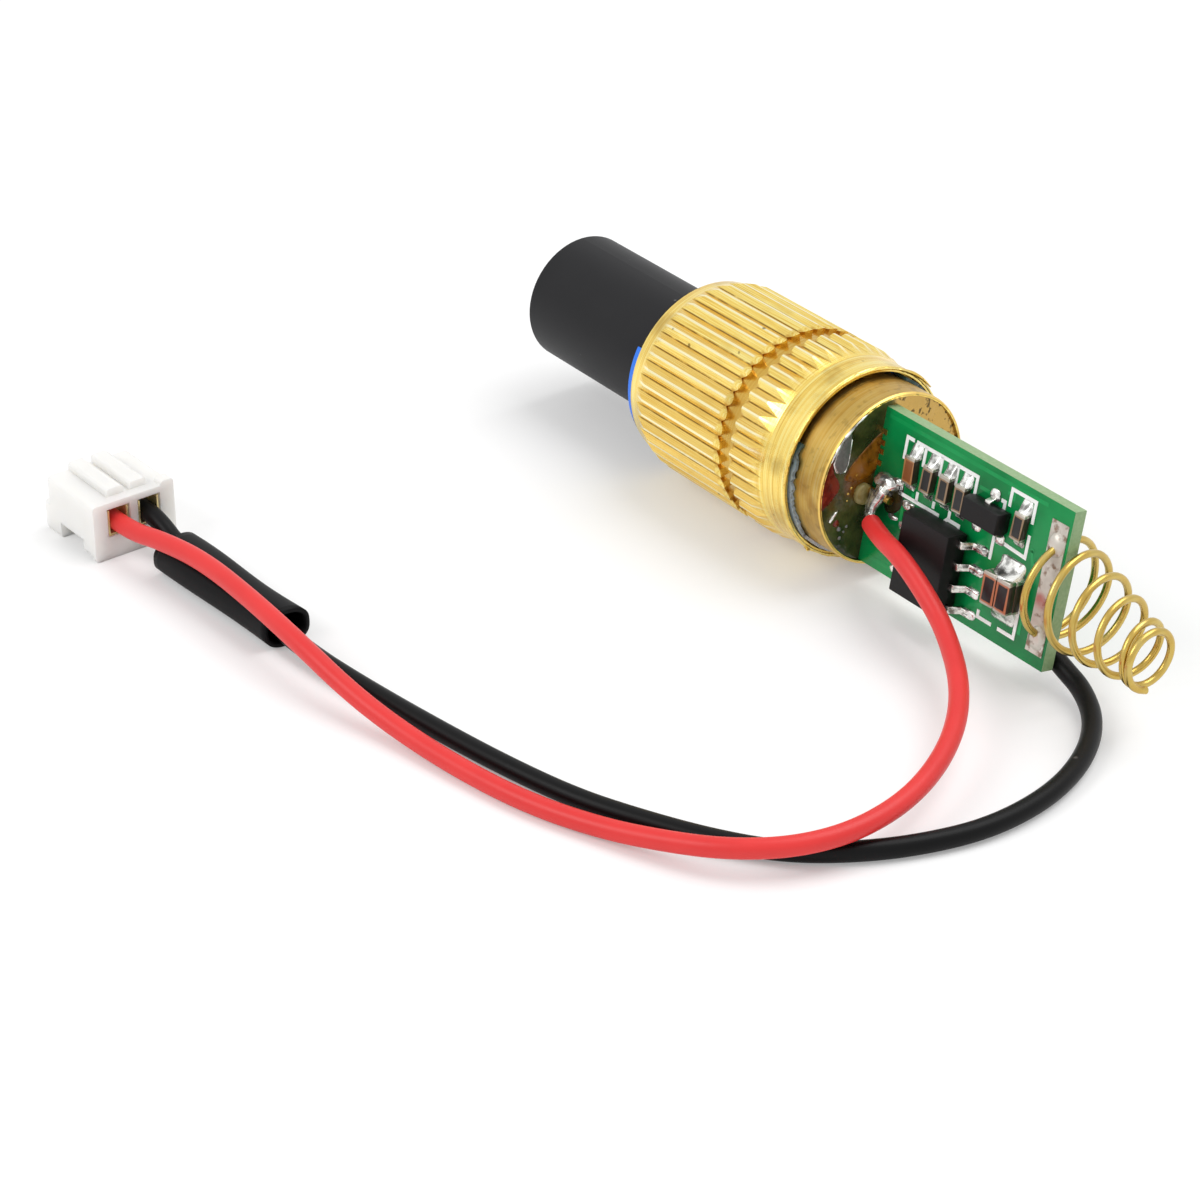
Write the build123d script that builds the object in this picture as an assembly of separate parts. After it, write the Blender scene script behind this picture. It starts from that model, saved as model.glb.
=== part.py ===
# Laser diode module with a knurled brass sleeve, a driver board, a contact spring and two leads
import math
import os
from build123d import *

# Driving dimensions in millimetres; u runs along the module axis from the sleeve's front rim
barrel_len = 12.20
barrel_edge = 0.25
barrel_wall = 0.70
flange_w = 1.22
flange_t = 0.45
neck_len = 7.00
neck_wall = 0.80
lens_t = 2.00
lens_bulge = 0.70
lens_clear = 0.05
retainer_t = 0.80
retainer_w = 0.85
retainer_recess = 0.36
sleeve_len = 14.49
sleeve_wall = 0.64
crest_r = 6.00
knurl_depth = 0.25
ridge_count = 40
crest_flat = 0.16
ring_u = 9.04
ring_w = 0.86
ring_depth = 0.36
lobe_len = 0.55
rim_drop = 0.30
rim_edge = 0.12
land_w = 0.84
rise_w = 0.95
runout_w = 1.25
plain_rear = 1.85
land_drop = 0.02
body_wall = 1.87
collar_show = 2.43
film_t = 0.19
film_proud = 0.40
film_seam_deg = 90.0
film_start_deg = 150.0
counterbore_t = 0.10
counterbore_len = 1.20
stem_r = 2.80
stem_t = 1.20
cap_r = 1.78
cap_len = 2.40
cap_t = 0.20
cap_gap = 0.72
window_r = 1.20
window_t = 0.25
window_hole_r = 0.80
pin_r = 0.225
pin_len = 2.80
pin_lift = 0.10
collar_t = 0.19
recess_len = 1.02
resin_t = 0.85

# Driver board and what is soldered to it; x runs from the board's front end, v up from its middle line
board_len = 15.36
board_clear = 0.36
board_t = 0.81
board_roll_deg = 10.3
board_face = 1.19
board_shift = -0.16
board_gap = 0.60
draft = 0.14
lead_root = 0.15
chip_share = 0.4167
chip_v = -2.00
chip_dx = 3.90
chip_dv = 4.85
chip_h = 1.42
chip_lift = 0.12
chip_pitch = 1.27
chip_lead_h = 0.86
chip_lead_reach = 1.05
chip_lead_t = 0.20
chip_lead_w = 0.42
tran_share = 0.6245
tran_v = 2.12
tran_dx = 2.90
tran_dv = 1.30
tran_h = 0.98
tran_lift = 0.06
tran_pitch = 0.95
tran_lead_h = 0.58
tran_lead_reach = 0.58
tran_lead_t = 0.13
tran_lead_w = 0.40
small_w = 0.80
small_len = 1.60
small_t = 0.45
sense_w = 1.00
sense_len = 1.90
sense_t = 0.50
sense_v = -1.42
sense_share = 0.736
sense_pitch = 1.06
sense_turn_deg = 3.0
mound_share = 0.0977
mound_v = 0.10
mound_r = 0.95
mound_sink = 0.35
strand_r = 0.32
strand_stub = 0.60
back_mound_r = 0.95
back_mound_sink = 0.10

# Contact spring and the tinned strip that it is threaded through
wire_r = 0.21
coil_clear = 1.79
tip_r = 1.62
coil_pitch = 1.74
open_turns = 4
tip_turns = 1.25
tip_gap = 0.03
tail_turn = 0.765
face_turn = 0.22
turn_points = 12
wire_flat_count = 8
coil_edge = 0.82
coil_sag = -0.28
tip_sag_y = -0.64
tip_sag_z = -0.56
hole_r = 0.42
strip_w = 1.25
strip_end = 1.08
strip_t = 0.05

# Leads, loose heat-shrink tube and plug
lead_r = 0.55
shrink_w = 2.90
shrink_h = 2.10
shrink_t = 0.25
plug_d = -26.81
plug_y = -32.85
plug_yaw_deg = 2.0
plug_len = 4.95
plug_w = 5.35
plug_h = 3.55
plug_edge = 0.22
toe_len = 0.50
toe_h = 1.85
arch_start = 1.35
arch_len = 2.50
arch_h = 1.00
heel_start = 0.35
heel_h = 0.39
rib_start = 0.70
rib_w = 1.10
rib_gap = 0.40
rib_h = 0.45
ear_len = 0.75
ear_w = 0.85
ear_h = 0.25
cavity_pitch = 2.00
cavity_w = 1.50
cavity_h = 1.75
cavity_len = 4.20
cavity_gap = 0.15
slot_w = 0.90
crimp_start = 0.95
crimp_len = 3.10
crimp_w = 1.30
crimp_h = 1.35
wing_start = 0.10
wing_t = 0.12
wing_h = 1.60
crimp_floor = 0.15
lead_z = 2.10

# The module lies on two neighbouring ridges, so its axis is a little under the crest radius high
ridge_step = 360.0 / ridge_count
half_flat = crest_flat / 2 / crest_r
axis_h = crest_r * math.cos(math.radians(ridge_step / 2) - half_flat)
film_r = crest_r - sleeve_wall
body_r = film_r - film_t
body_len = sleeve_len + collar_show
recess_r = body_r - collar_t
neck_r = body_r - body_wall
beam_r = neck_r - neck_wall
barrel_r = body_r - flange_w
barrel_bore = barrel_r - barrel_wall
lens_r = barrel_bore - lens_clear
retainer_bore_r = lens_r - retainer_w
chamber_r = cap_r + cap_gap
board_w = 2 * (recess_r - board_clear)
coil_r = board_w / 2 - coil_clear
chip_x = chip_share * board_len
tran_x = tran_share * board_len
mound_x = mound_share * board_len
counterbore_r = film_r + counterbore_t
valley_r = crest_r - knurl_depth
land_r = valley_r - land_drop
board_u = body_len - recess_len + board_gap
hole_u = board_u + board_len - coil_edge

# Spring turns, counted from the front of the half turn that shows on the board's face
coil_len = open_turns * coil_pitch
tip_pitch = 2 * wire_r + tip_gap
tail_u = 2 * wire_r + 4 * tip_gap
spring_tip = hole_u + coil_len + tip_turns * tip_pitch + wire_r
barrel_front = -(barrel_len + flange_t)
mid_u = (barrel_front + spring_tip) / 2
place = Pos(-mid_u, 0, axis_h)

AXIS = Plane(origin=(0, 0, 0), x_dir=(0, 1, 0), z_dir=(1, 0, 0))
roll = math.radians(board_roll_deg)
face_dir = Vector(0, -math.cos(roll), math.sin(roll))
up_dir = Vector(0, math.sin(roll), math.cos(roll))
board_origin = face_dir * board_face + up_dir * board_shift + Vector(board_u, 0, 0)
BOARD = Plane(origin=board_origin, x_dir=(1, 0, 0), z_dir=face_dir)
ON_FACE = (Align.CENTER, Align.CENTER, Align.MIN)
INTO_FACE = (Align.CENTER, Align.CENTER, Align.MAX)

nodes = {}


def turned(points):
    # A ring or plug turned about the module axis from (u, radius) points
    outline = [(p[0], 0, p[1]) for p in points]
    return revolve(make_face(Polyline(*outline, close=True)), Axis.X, 360)


def rod(u0, u1, r_out, r_in=0.0):
    body = AXIS * Pos(0, 0, u0) * Cylinder(r_out, u1 - u0, align=ON_FACE)
    if r_in > 0:
        body -= AXIS * Pos(0, 0, u0) * Cylinder(r_in, u1 - u0, align=ON_FACE)
    return body


def on_board(x, v, h=0.0):
    return BOARD * Pos(x, v, h)


def block(x, v, h, dx, dv, dh, turn=0.0):
    return on_board(x, v, h) * Rot(0, 0, turn) * Box(dx, dv, dh, align=ON_FACE)


# Black lens barrel: plain tube, flange against the brass body and a neck inside it
seat_u = barrel_front + retainer_recess + retainer_t + lens_t
barrel = turned(
    [
        (barrel_front, barrel_bore),
        (barrel_front, barrel_r - barrel_edge),
        (barrel_front + barrel_edge, barrel_r),
        (-flange_t, barrel_r),
        (-flange_t, body_r),
        (0, body_r),
        (0, neck_r),
        (neck_len, neck_r),
        (neck_len, beam_r),
        (seat_u, beam_r),
        (seat_u, barrel_bore),
    ]
)
nodes["lens_barrel"] = barrel

# Collimating lens, flat towards the diode, with a plain edge
lens_front = seat_u - lens_t
dome_r = (lens_r**2 + lens_bulge**2) / (2 * lens_bulge)
lens_rim = lens_front + lens_bulge
lens = rod(lens_rim, seat_u, barrel_bore)
dome = Pos(lens_front + dome_r, 0, 0) * Sphere(dome_r)
lens += dome & rod(lens_front - lens_bulge, lens_rim, lens_r)
nodes["collimating_lens"] = lens

# Threaded ring that holds the lens against its seat; its bore clears the lens dome
nodes["lens_retainer"] = rod(lens_front - retainer_t, lens_rim, barrel_bore, retainer_bore_r) - dome

# Knurled sleeve: ridged prism trimmed by the turned outline, ring groove with scalloped lobes
pitch = math.radians(ridge_step)
prism_points = []
for i in range(ridge_count):
    crest = (i + 0.5) * pitch
    valley = crest + pitch / 2
    for ang, rad in ((crest - half_flat, crest_r), (crest + half_flat, crest_r), (valley, valley_r)):
        prism_points.append((rad * math.sin(ang), rad * math.cos(ang)))
prism = AXIS * extrude(make_face(Polyline(*prism_points, close=True)), sleeve_len)
rear_land = sleeve_len - plain_rear
envelope = turned(
    [
        (0, film_r),
        (0, valley_r - rim_drop),
        (rim_edge, valley_r - rim_drop + rim_edge),
        (land_w, land_r),
        (land_w + rise_w, crest_r + land_drop),
        (rear_land - runout_w, crest_r + land_drop),
        (rear_land, land_r),
        (sleeve_len - rim_edge, land_r),
        (sleeve_len, land_r - rim_edge / 2),
        (sleeve_len, counterbore_r),
        (sleeve_len - counterbore_len, counterbore_r),
        (sleeve_len - counterbore_len, film_r),
    ]
)
sleeve = prism & envelope
groove_r = crest_r - ring_depth
sleeve -= rod(ring_u, ring_u + ring_w, crest_r + ring_depth, groove_r)
lobe = crest_r * pitch / 2
notch_half = [(-lobe_len, 0), (-0.4 * lobe_len, lobe * 0.38), (0.01, lobe * 0.80)]
notch_points = notch_half + [(p[0], -p[1]) for p in reversed(notch_half[1:])]
notch = Pos(ring_u, 0, groove_r) * extrude(make_face(Polyline(*notch_points, close=True)), 2 * ring_depth)
sleeve -= [Rot(i * ridge_step, 0, 0) * notch for i in range(ridge_count)]
nodes["knurled_sleeve"] = sleeve

# Plastic film wrapped round the brass body, with an open seam at the top
film = rod(-flange_t, sleeve_len + film_proud, film_r, body_r)
seam_mid = math.radians(film_start_deg - film_seam_deg / 2)
wedge_r = 4 * body_r
seam_points = [(0, 0)]
for k in range(3):
    ang = seam_mid + math.radians(film_seam_deg) * (k - 1) / 2
    seam_points.append((wedge_r * math.cos(ang), wedge_r * math.sin(ang)))
seam_face = make_face(Polyline(*seam_points, close=True))
film -= Pos(-body_r, 0, 0) * AXIS * extrude(seam_face, sleeve_len + 2 * body_r)
nodes["film_wrap"] = film

# Brass body: bored for the barrel neck, the beam and the diode, with a shallow rear recess
seat_rear = body_len - recess_len
seat_front = seat_rear - stem_t
body = turned(
    [
        (0, neck_r),
        (0, body_r),
        (body_len - rim_edge, body_r),
        (body_len, body_r - rim_edge / 2),
        (body_len, recess_r),
        (seat_rear, recess_r),
        (seat_rear, stem_r),
        (seat_front, stem_r),
        (seat_front, chamber_r),
        (neck_len, chamber_r),
        (neck_len, neck_r),
    ]
)
nodes["brass_body"] = body

# Laser diode: round stem, cap with a window, one pin on the board's face and two behind it
nodes["diode_stem"] = rod(seat_front, seat_rear, stem_r)
cap_front = seat_front - cap_len
cap = rod(cap_front, seat_front, cap_r) - rod(cap_front + cap_t, seat_front, cap_r - cap_t)
nodes["diode_cap"] = cap - rod(cap_front, cap_front + cap_t, window_hole_r)
nodes["diode_window"] = rod(cap_front + cap_t, cap_front + cap_t + window_t, window_r)
pin_x = seat_rear - board_u
pin_spots = [
    (mound_v - mound_sink, pin_r + pin_lift),
    (mound_v + 1.0, -board_t - pin_r),
    (mound_v - 1.0, -board_t - pin_r),
]
pins = []
for k, (v, h) in enumerate(pin_spots):
    pin = on_board(pin_x, v, h) * Rot(0, 90, 0) * Cylinder(pin_r, pin_len, align=ON_FACE)
    pins.append(pin)
    nodes["diode_pin_%d" % (k + 1)] = pin

# Circuit board with two holes for the spring wire
chord = math.sqrt(coil_r**2 - (board_face - board_t / 2) ** 2)
hole_v = [coil_sag + chord, coil_sag - chord]
hole_x = board_len - coil_edge
board = block(board_len / 2, 0, -board_t, board_len, board_w, board_t)
strip = block(hole_x, coil_sag / 3, 0, strip_w, 2 * (chord + strip_end), strip_t)
for v in hole_v:
    drill = on_board(hole_x, v, -board_t / 2) * Cylinder(hole_r, 4 * board_t)
    board -= drill
    strip -= drill
nodes["circuit_board"] = board
nodes["spring_pad"] = strip

# Resin over the back of the diode, up round its pins and the end of the board
resin = rod(seat_rear, seat_rear + resin_t, recess_r) - board
for pin in pins:
    resin -= pin
nodes["resin_fill"] = resin


def foot(drop, reach, thick):
    # Side outline of a formed lead: out of its package, down and flat on its pad
    return [
        (-lead_root, drop),
        (reach * 0.28, drop),
        (reach * 0.52, thick),
        (reach, thick),
        (reach, 0),
        (reach * 0.40, 0),
        (reach * 0.18, drop - thick),
        (-lead_root, drop - thick),
    ]


def formed_lead(x, v, turn, drop, reach, thick, width):
    # A flat lead that leaves its package in the direction turned by some degrees on the board
    outline = [(d, 0, h) for d, h in foot(drop, reach, thick)]
    flat = make_face(Polyline(*outline, close=True))
    return on_board(x, v) * Rot(0, 0, turn) * extrude(flat, width / 2, dir=(0, 1, 0), both=True)


def moulded(x, v, lift, dx, dv, dh, waist):
    # A moulded package: widest at its parting line, with drafted sides above and below it
    sections = []
    for h in (lift, waist, lift + dh):
        inset = 2 * draft * abs(h - waist)
        sections.append(on_board(x, v, h) * Rectangle(dx - inset, dv - inset))
    return loft(sections, ruled=True)


# Eight-lead driver chip lying along the board
chip = moulded(chip_x, chip_v, chip_lift, chip_dx, chip_dv, chip_h, chip_lead_h - chip_lead_t / 2)
for k in range(8):
    side = 1 if k < 4 else -1
    lead_x = chip_x + side * chip_dx / 2
    lead_v = chip_v + chip_pitch * ((k % 4) - 1.5)
    lead_turn = 0 if side > 0 else 180
    lead = formed_lead(lead_x, lead_v, lead_turn, chip_lead_h, chip_lead_reach, chip_lead_t, chip_lead_w)
    chip -= lead
    nodes["chip_lead_%d" % (k + 1)] = lead
nodes["driver_chip"] = chip

# Three-lead transistor: two leads below, one above
transistor = moulded(tran_x, tran_v, tran_lift, tran_dx, tran_dv, tran_h, tran_lead_h - tran_lead_t / 2)
for k, (dx, side) in enumerate([(-tran_pitch, -1), (tran_pitch, -1), (0, 1)]):
    lead_v = tran_v + side * tran_dv / 2
    lead = formed_lead(tran_x + dx, lead_v, side * 90, tran_lead_h, tran_lead_reach, tran_lead_t, tran_lead_w)
    transistor -= lead
    nodes["transistor_lead_%d" % (k + 1)] = lead
nodes["transistor"] = transistor

# Five small resistors: share of the board's length, place across it and turn in degrees
small = [(0.208, 2.02, 4.0), (0.303, 2.05, -2.0), (0.392, 2.05, 0.0), (0.476, 2.02, 2.0), (0.776, 2.38, -3.0)]
for k, (share, v, turn) in enumerate(small):
    nodes["resistor_%d" % (k + 1)] = block(share * board_len, v, 0, small_w, small_len, small_t, turn)

# Two stacked pairs of larger resistors side by side
for k in range(2):
    x = sense_share * board_len + sense_pitch * k
    for layer in range(2):
        name = "sense_resistor_%d" % (2 * k + layer + 1)
        nodes[name] = block(x, sense_v, sense_t * layer, sense_w, sense_len, sense_t, sense_turn_deg)


def coil_at(t):
    # Centre of the spring wire after t turns; whole turns face the viewer of the board
    open_part = min(max(t, 0.0), open_turns)
    r = coil_r - (coil_r - tip_r) * (open_part / open_turns) ** 1.2
    u = coil_pitch * open_part + tip_pitch * max(t - open_turns, 0.0)
    if t < 1:
        u = coil_pitch * max(t - face_turn, 0.0) / (1 - face_turn)
    if t < -face_turn:
        u = -tail_u * min(1.0, (-face_turn - t) / face_turn)
    sag = max(u, 0.0) / coil_len
    ang = -2 * math.pi * t
    centre = up_dir * (board_shift + coil_sag) + Vector(hole_u + u, tip_sag_y * sag, tip_sag_z * sag)
    return centre + face_dir * (r * math.cos(ang)) + up_dir * (r * math.sin(ang))


# Contact spring: tail behind the board, half turn through both holes, open cone, closed tip
# The thin wire is swept with eight flats, which lie within 0.02 mm of round
total_turns = tail_turn + open_turns + tip_turns
count = int(total_turns * turn_points)
coil_points = [coil_at(total_turns * k / count - tail_turn) for k in range(count + 1)]
coil_path = Spline(*coil_points)
coil_start = Plane(origin=coil_path @ 0, z_dir=coil_path % 0)
nodes["contact_spring"] = sweep(coil_start * RegularPolygon(wire_r, wire_flat_count), path=coil_path)


def run_length(a, b):
    return (Vector(*b) - Vector(*a)).length


def lead_tube(name, points):
    # A round insulated wire through the points, with a tangent arc at each
    radii = []
    for a, b, c in zip(points, points[1:], points[2:]):
        d1 = (Vector(*b) - Vector(*a)).normalized()
        d2 = (Vector(*c) - Vector(*b)).normalized()
        half = math.acos(max(-1.0, min(1.0, d1.dot(d2)))) / 2
        radii.append(0.45 * min(run_length(a, b), run_length(b, c)) / math.tan(half))
    path = FilletPolyline(*points, radius=radii)
    tube = sweep(Plane(origin=path @ 0, z_dir=path % 0) * Circle(lead_r), path=path)
    print(name, "length %.2f" % path.length, "radii", ["%.1f" % r for r in radii])
    print(name, "volume ratio %.4f" % (tube.volume / (math.pi * lead_r**2 * path.length)))
    return tube


# Two-way plug lying flat on the floor, its wire side turned to the module
yaw = math.radians(plug_yaw_deg)
plug_dir = Vector(-math.cos(yaw), -math.sin(yaw), 0)
PLUG = Plane(origin=(board_u + plug_d, plug_y, -axis_h), x_dir=plug_dir, z_dir=(0, 0, 1))
MINZ = (Align.MIN, Align.CENTER, Align.MIN)


def in_plug(x, y, z, dx, dy, dz):
    # A box in the plug: x from its wire side, y from its middle, z up
    return PLUG * Pos(x, y, z) * Box(dx, dy, dz, align=MINZ)


def rounded_bar(x, y, z, dx, dy, dz):
    # The same box with its long edges rounded
    end = Plane(origin=(x, y, z + dz / 2), x_dir=(0, 1, 0), z_dir=(1, 0, 0))
    return PLUG * extrude(end * RectangleRounded(dy, dz, plug_edge), dx)


housing = rounded_bar(0, 0, 0, plug_len, plug_w, plug_h)
housing += rounded_bar(plug_len, 0, 0, toe_len, plug_w, toe_h)
rib_root = plug_h - 2 * plug_edge
for side in (1, -1):
    rib_y = side * (rib_w + rib_gap) / 2
    housing += rounded_bar(rib_start, rib_y, rib_root, plug_len - rib_start, rib_w, rib_h + 2 * plug_edge)
ear_y = -(plug_w - ear_w) / 2
housing += rounded_bar(0, ear_y, rib_root, ear_len, ear_w, ear_h + 2 * plug_edge)
housing -= in_plug(arch_start, 0, 0, arch_len, plug_w, arch_h)
housing -= in_plug(heel_start, 0, 0, arch_start - heel_start, plug_w, heel_h)
cavity_z = lead_z - lead_r - cavity_gap
terminals = {}
for name, y in (("red", cavity_pitch / 2), ("black", -cavity_pitch / 2)):
    housing -= in_plug(0, y, cavity_z, cavity_len, cavity_w, cavity_h)
    housing -= in_plug(cavity_len, y, lead_z - slot_w / 2, plug_len, slot_w, slot_w)
    crimp = in_plug(crimp_start, y, cavity_z, crimp_len, crimp_w, crimp_h)
    wing_run = crimp_start - wing_start
    crimp += in_plug(wing_start, y, cavity_z, wing_run, 2 * (lead_r + wing_t), crimp_floor)
    for side in (-1, 1):
        wing_y = y + side * (lead_r + wing_t / 2)
        crimp += in_plug(wing_start, wing_y, cavity_z, wing_run, wing_t, wing_h)
    terminals[name] = crimp
nodes["plug_housing"] = housing
nodes["red_terminal"] = terminals["red"]
nodes["black_terminal"] = terminals["black"]


def wire_end(y, straight):
    # A point straight behind a crimp, and where its wire meets it inside the plug
    behind = PLUG.from_local_coords(Vector(-straight, y, lead_z))
    inside = PLUG.from_local_coords(Vector(crimp_start, y, lead_z))
    return [tuple(behind), tuple(inside)]


def board_points(points):
    return [tuple(BOARD.from_local_coords(Vector(*p))) for p in points]


def floor_points(points, start=0.0):
    return [(board_u + start + p[0], p[1], p[2] - axis_h) for p in points]


# Lead routes: the first points lie by the board's solder joints and chip; the rest are given as
# the distance behind one end of the board, the place across the floor and the height over it
red_route = board_points(
    [(mound_x + 0.25, -1.69, 1.00), (chip_x - 2.65, -1.57, 2.05), (chip_x - 0.50, -1.56, 2.60)]
)
red_route += floor_points(
    [
        (8.5, -4.5, 4.15),
        (11.1, -5.1, 3.10),
        (15.3, -7.6, 2.50),
        (18.6, -11.1, 2.20),
        (20.9, -15.4, 2.00),
        (21.6, -19.5, 1.85),
        (20.9, -22.9, 1.75),
        (18.8, -25.6, 1.50),
        (15.6, -27.4, 1.00),
        (12.3, -28.9, 0.62),
        (8.4, -30.4, 0.56),
        (3.6, -31.4, 0.58),
        (-1.3, -32.1, 0.85),
        (-4.9, -32.7, 1.60),
        (-8.9, -33.0, 2.50),
        (-13.9, -32.9, 2.80),
        (-19.1, -32.8, 2.75),
        (-22.9, -33.3, 2.50),
    ]
)
red_route += wire_end(cavity_pitch / 2, 1.30)
black_route = board_points([(hole_x - 1.04, -3.82, -1.51)])
black_route += floor_points(
    [
        (0.0, -0.6, 1.40),
        (2.0, -0.8, 0.92),
        (4.4, -2.2, 0.62),
        (6.6, -5.0, 0.56),
        (8.1, -8.7, 0.56),
        (8.5, -13.0, 0.56),
        (7.6, -16.8, 0.56),
        (6.1, -20.0, 0.56),
        (4.0, -22.8, 0.56),
        (1.1, -24.9, 0.56),
    ],
    board_len,
)
black_route += floor_points(
    [
        (13.0, -26.7, 0.56),
        (9.5, -28.2, 0.56),
        (4.6, -29.4, 0.56),
        (-1.3, -30.4, 0.56),
        (-6.4, -31.1, 0.57),
        (-10.1, -31.6, 0.74),
        (-15.5, -31.7, 0.95),
        (-20.5, -31.9, 0.98),
        (-24.1, -31.7, 1.15),
    ]
)
black_route += wire_end(-cavity_pitch / 2, 0.75)
nodes["red_lead"] = lead_tube("red_lead", red_route)
nodes["black_lead"] = lead_tube("black_lead", black_route)

# Loose oval heat-shrink tube over the black lead
shrink_ends = floor_points([(-23.75, -32.05, shrink_h / 2), (-12.75, -31.45, shrink_h / 2)])
shrink_run = Vector(*shrink_ends[1]) - Vector(*shrink_ends[0])
SHRINK = Plane(origin=shrink_ends[0], x_dir=(0, 0, 1), z_dir=shrink_run)
oval = SlotOverall(shrink_w, shrink_h, rotation=90)
bore = SlotOverall(shrink_w - 2 * shrink_t, shrink_h - 2 * shrink_t, rotation=90)
nodes["heat_shrink"] = SHRINK * extrude(oval - bore, shrink_run.length)

# Solder mound on the board's face with the tinned strands of the red lead running into it
red_start = Vector(*red_route[0])
red_dir = (Vector(*red_route[1]) - red_start).normalized()
mound = on_board(mound_x, mound_v, -mound_sink) * Sphere(mound_r)
mound -= block(mound_x, mound_v, -2 * mound_r, 4 * mound_r, 4 * mound_r, 2 * mound_r)
strand = Plane(origin=red_start, z_dir=red_dir) * Cylinder(strand_r, strand_stub, align=INTO_FACE)
bend = red_start - red_dir * strand_stub
strand += Pos(bend) * Sphere(strand_r)
reach = BOARD.from_local_coords(Vector(mound_x, mound_v - mound_sink, mound_sink)) - bend
strand += Plane(origin=bend, z_dir=reach) * Cylinder(strand_r, reach.length, align=ON_FACE)
nodes["red_solder"] = mound + strand - pins[0]

# Solder mound behind the board where the black lead starts
black_start = Vector(*black_route[0])
black_dir = (Vector(*black_route[1]) - black_start).normalized()
stub = Plane(origin=black_start, z_dir=black_dir) * Cylinder(strand_r, strand_stub, align=INTO_FACE)
spot = BOARD.to_local_coords(black_start - black_dir * strand_stub)
back_mound = on_board(spot.X, spot.Y, -board_t + back_mound_sink) * Sphere(back_mound_r)
back_mound -= block(spot.X, spot.Y, -board_t, 4 * back_mound_r, 4 * back_mound_r, 2 * back_mound_r)
nodes["black_solder"] = back_mound + stub - nodes["black_lead"]

os.makedirs("parts", exist_ok=True)
for name, shape in nodes.items():
    export_step(place * shape, "parts/%s.step" % name)
overall_len = spring_tip - barrel_front
print(len(nodes), "nodes", "mid_u %.3f" % mid_u, "axis_h %.3f" % axis_h, "length %.2f" % overall_len)
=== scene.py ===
import math

import bmesh
import bpy
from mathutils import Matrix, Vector, noise


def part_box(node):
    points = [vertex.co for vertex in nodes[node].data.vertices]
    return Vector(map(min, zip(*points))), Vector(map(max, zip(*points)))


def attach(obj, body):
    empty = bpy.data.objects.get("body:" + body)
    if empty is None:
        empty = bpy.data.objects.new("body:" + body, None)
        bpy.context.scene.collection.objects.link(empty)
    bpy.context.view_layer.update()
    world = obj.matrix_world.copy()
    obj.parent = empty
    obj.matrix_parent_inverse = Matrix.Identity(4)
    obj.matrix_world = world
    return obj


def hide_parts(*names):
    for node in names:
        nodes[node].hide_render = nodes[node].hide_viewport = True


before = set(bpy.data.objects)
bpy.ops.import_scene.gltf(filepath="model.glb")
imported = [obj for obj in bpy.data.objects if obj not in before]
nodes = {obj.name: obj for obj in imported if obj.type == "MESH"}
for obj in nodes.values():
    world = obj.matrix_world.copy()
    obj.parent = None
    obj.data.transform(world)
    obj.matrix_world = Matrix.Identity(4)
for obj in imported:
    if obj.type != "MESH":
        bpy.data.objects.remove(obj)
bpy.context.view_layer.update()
mm = 0.001

# Lens barrel: a plain tube turned from aluminium and anodised a dull black
# Its flange butts on the brass body and a neck holds it inside
# The bead-blasted skin is finely grained, with a few specks of dust
barrel_low, barrel_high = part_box("lens_barrel")
axis_height = (barrel_low.z + barrel_high.z) / 2


def linear(red, green, blue):
    """A colour in screen values from 0 to 255, as the linear colour that sockets take."""
    levels = []
    for screen in (red / 255, green / 255, blue / 255):
        levels.append(screen / 12.92 if screen <= 0.04045 else ((screen + 0.055) / 1.055) ** 2.4)
    return (*levels, 1.0)


def fill(tree, socket, value):
    """Links a socket to another node's output, or sets it to a plain value."""
    if isinstance(value, bpy.types.NodeSocket):
        tree.links.new(value, socket)
    else:
        socket.default_value = value


def put(tree, kind, sockets=None, **options):
    """Adds a shader node with its options and its sockets, which go by name or by number."""
    made = tree.nodes.new("ShaderNode" + kind)
    for option, value in options.items():
        setattr(made, option, value)
    for socket, value in (sockets or {}).items():
        fill(tree, made.inputs[socket], value)
    return made


def calc(tree, operation, first, second=0.0):
    return put(tree, "Math", {0: first, 1: second}, operation=operation).outputs[0]


def product(tree, result, *factors):
    for factor in factors:
        result = calc(tree, "MULTIPLY", result, factor)
    return result


def between(tree, value, low, high):
    """A smooth mask that is 0 below low and 1 above high."""
    limits = {"Value": value, "From Min": low, "From Max": high}
    return put(tree, "MapRange", limits, interpolation_type="SMOOTHSTEP").outputs[0]


def below(tree, value, low, high):
    """A smooth mask that is 1 below low and 0 above high."""
    return calc(tree, "SUBTRACT", 1.0, between(tree, value, low, high))


def mix_colours(tree, mask, under, over):
    return put(tree, "Mix", {0: mask, 6: under, 7: over}, data_type="RGBA").outputs[2]


def cloudy(tree, place, scale, detail=3.0):
    """Soft noise from 0 to 1; scale is in features per metre when place is in metres."""
    return put(tree, "TexNoise", {"Vector": place, "Scale": scale, "Detail": detail}).outputs["Fac"]


def object_place(tree):
    return put(tree, "TexCoord").outputs["Object"]


def own_clouds(tree, scale, detail=3.0):
    """Soft noise that is fixed to the piece; scale is in features per metre."""
    return cloudy(tree, object_place(tree), scale, detail)


def new_group(name, inputs, outputs):
    """An empty shader node group: its tree, its inputs by name and its outputs by name."""
    group = bpy.data.node_groups.new(name, "ShaderNodeTree")
    for label, start in inputs.items():
        kind = "NodeSocketVector" if isinstance(start, tuple) else "NodeSocketFloat"
        socket = group.interface.new_socket(label, in_out="INPUT", socket_type=kind)
        socket.default_value = start
    for label, kind in outputs.items():
        group.interface.new_socket(label, in_out="OUTPUT", socket_type="NodeSocket" + kind)
    return group, group.nodes.new("NodeGroupInput").outputs, group.nodes.new("NodeGroupOutput").inputs


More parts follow.
